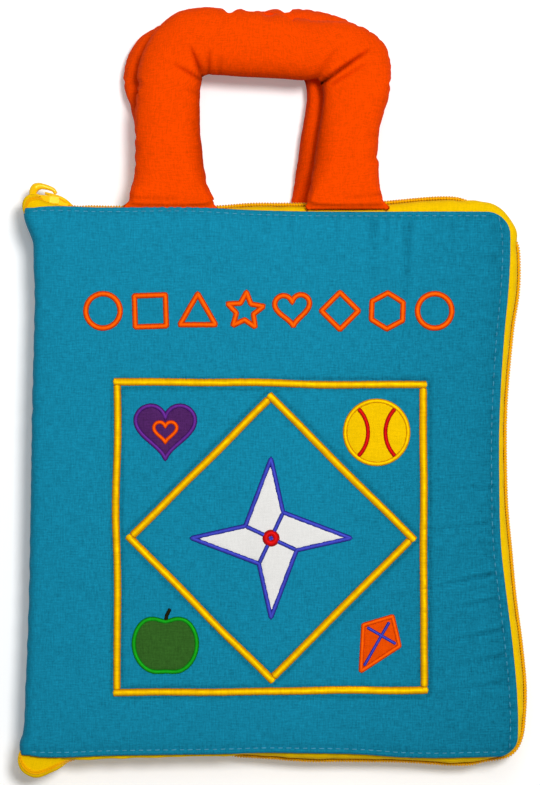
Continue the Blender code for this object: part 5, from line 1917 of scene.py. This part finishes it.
def make_camera():
    x, y = at_pixel(PHOTO_WIDTH / 2, PHOTO_HEIGHT / 2)
    data = bpy.data.cameras.new("camera")
    camera = bpy.data.objects.new("camera", data)
    bpy.context.scene.collection.objects.link(camera)
    camera.location = (x * MM, y * MM, (FRONT_HIGH + CAMERA_HEIGHT) * MM)
    data.sensor_width = SENSOR
    data.lens = SENSOR * CAMERA_HEIGHT / (PHOTO_HEIGHT * PIXEL)
    data.clip_end = 100
    bpy.context.scene.camera = camera


def make_lamp(name, place, size, power):
    data = bpy.data.lights.new(name, "AREA")
    data.shape = "DISK"
    data.size = size * MM
    data.energy = power
    lamp = bpy.data.objects.new(name, data)
    bpy.context.scene.collection.objects.link(lamp)
    lamp.location = Vector(place) * MM
    lamp.rotation_euler = (Vector(LAMP_TARGET) * MM - lamp.location).to_track_quat("-Z", "Y").to_euler()


def white_to_rays(tree, socket, plain, seen):
    """Strength that is one value for light and another for what rays see directly."""
    path = add_node(tree, "LightPath").outputs
    rays = path["Is Camera Ray"]
    for kind in ("Is Glossy Ray", "Is Transmission Ray"):
        rays = add_node(tree, "Math", {0: rays, 1: path[kind]}, operation="MAXIMUM").outputs[0]
    mix = add_node(tree, "Math", {0: rays, 1: seen - plain, 2: plain}, operation="MULTIPLY_ADD")
    tree.links.new(mix.outputs[0], socket)


def make_stage():
    """White floor that keeps the book's shadow, an even white surround, and a soft key light."""
    world = bpy.data.worlds.new("surround")
    bpy.context.scene.world = world
    world.use_nodes = True
    sky = world.node_tree.nodes["Background"].inputs
    sky["Color"].default_value = (1, 1, 1, 1)
    white_to_rays(world.node_tree, sky["Strength"], SURROUND_LIGHT, 1.0)

    half, z = FLOOR_HALF, FLOOR_Z
    corners = [(-half, -half, z), (half, -half, z), (half, half, z), (-half, half, z)]
    graph = Graph("floor_white", FLOOR_WHITE, 0.9)
    graph.set(Emission_Color=(1, 1, 1, 1), Specular_IOR_Level=0.0)
    white_to_rays(graph.tree, graph.shader.inputs["Emission Strength"], 0.0, FLOOR_GLOW)
    add_object("floor", new_mesh("floor", corners, [(0, 1, 2, 3)]), graph.material)

    make_lamp("key", *KEY_LAMP)
    make_lamp("near", *NEAR_LAMP)
    bpy.context.scene.view_settings.view_transform = "Standard"


# Assembly


def dress(piece, body, slot, *nodes, pad=None):
    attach(piece, body)
    if nodes:
        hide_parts(*nodes)


def refinish(node, name, body, slot, finish, bevel):
    dress(replace_like(node, name, MATERIAL[finish], bevel), body, slot, node)


def blend_spine(piece, nodes):
    """Half of the spine's skin, which turns from one cover round into the spine: the nodes it replaces are
    hidden and its place is baked into its points.
    """
    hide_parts(*nodes)
    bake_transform(piece)


def build_outside():
    front, front_spine, back, back_spine = make_covers()
    dress(front, "front_cover", "teal_cotton", "front_cover_fabric", "front_cover_wadding", pad=0.5)
    dress(back, "back_cover", "teal_cotton", "back_cover_fabric", "back_cover_wadding", pad=0.5)
    across, up = np.array([SPINE_BEND, 0, 0]), np.array([0, 0, SPINE_BEND])
    nodes = ("spine_fabric", "spine_wadding")
    blend_spine(front_spine, nodes)
    blend_spine(back_spine, nodes[:1])
    dress(make_topstitch("front_topstitch", front_height), "front_cover", "teal_cotton")

    square, diamond = make_borders()
    dress(square, "front_cover", "yellow_satin", "cover_square_border")
    dress(diamond, "front_cover", "yellow_satin", "cover_diamond_border")
    patches = {"pinwheel": "white", "heart": "purple", "ball": "yellow", "apple": "green", "kite": "orange"}
    for piece in make_motifs():
        motif = piece.name.replace("_patch_cloth", "")
        if motif not in patches:
            dress(piece, "front_cover", "yellow_satin")
        else:
            dress(piece, "front_cover", f"{patches[motif]}_cotton", f"{motif}_patch")
    dress(make_shape_row(), "front_cover", "orange_cotton")

    for body, handle in zip(("front_handle", "back_handle"), make_handles()):
        dress(handle, body, "orange_cotton", f"{body}_fabric", f"{body}_stuffing", pad=0.7)
    for side in ("front", "back"):
        tape = make_tape(f"{side}_zip_tape_cloth", side == "front")
        dress(tape, f"{side}_cover", "yellow_cotton", f"zip_tape_{side}")
    for side, up in (("front", 1), ("back", -1)):
        dress(make_coil(f"{side}_zip_coil_wire", up), f"{side}_cover", "zip_nylon", f"zip_coil_{side}")
    dress(make_slider(), "zip_slider", "zip_enamel", "zip_slider_body")
    dress(make_pull(), "zip_pull", "zip_enamel", "zip_pull_tab")


def build_inside():
    pages = ("cream", "green", "white", "purple")
    for index, finish in enumerate(pages, start=1):
        body = f"leaf_{index}"
        cloth, rim, tape = make_leaf(index, MATERIAL[finish])
        nodes = [f"leaf_{index}_{part}" for part in ("front_page", "back_page", "wadding")]
        dress(cloth, body, f"{finish}_cotton", *nodes, pad=0.5)
        dress(rim, body, "yellow_satin")
        dress(tape, body, "teal_cotton", f"leaf_{index}_hinge_tape")
    cloth, rim, marks = make_dial()
    dress(cloth, "leaf_1", "yellow_cotton", "dial_patch")
    dress(rim, "leaf_1", "orange_cotton")
    dress(marks, "leaf_1", "yellow_satin")
    refinish("dial_pointer", "pointer_arrow", "pointer", "red_plastic", "red", 0.12)
    refinish("pointer_stud", "pointer_rivet", "leaf_1", "red_plastic", "enamel", 0.1)
    for k in range(1, 6):
        refinish(f"counting_bead_{k}", f"bead_{k}_turned", f"bead_{k}", "red_plastic", "red", 0.3)
    refinish("counting_cord", "bead_cord", "leaf_3", "yellow_cotton", "tape", 0.05)
    for node in ("cord_tab_left", "cord_tab_right"):
        refinish(node, f"{node}_cloth", "leaf_3", "teal_cotton", "teal", 0.1)
    for side, face_z in (("front", FRONT_LOW), ("back", BACK_HIGH)):
        node = f"{side}_cover_lining"
        lining = make_lining(f"{side}_lining_cloth", node, face_z, MATERIAL["white"])
        dress(lining, f"{side}_cover", "white_cotton", node)
    lining, strip = make_spine_lining()
    dress(lining, "spine", "white_cotton", "spine_lining")
    dress(strip, "spine", "teal_cotton", "leaf_binding_strip")


make_camera()
make_stage()
build_outside()
build_inside()
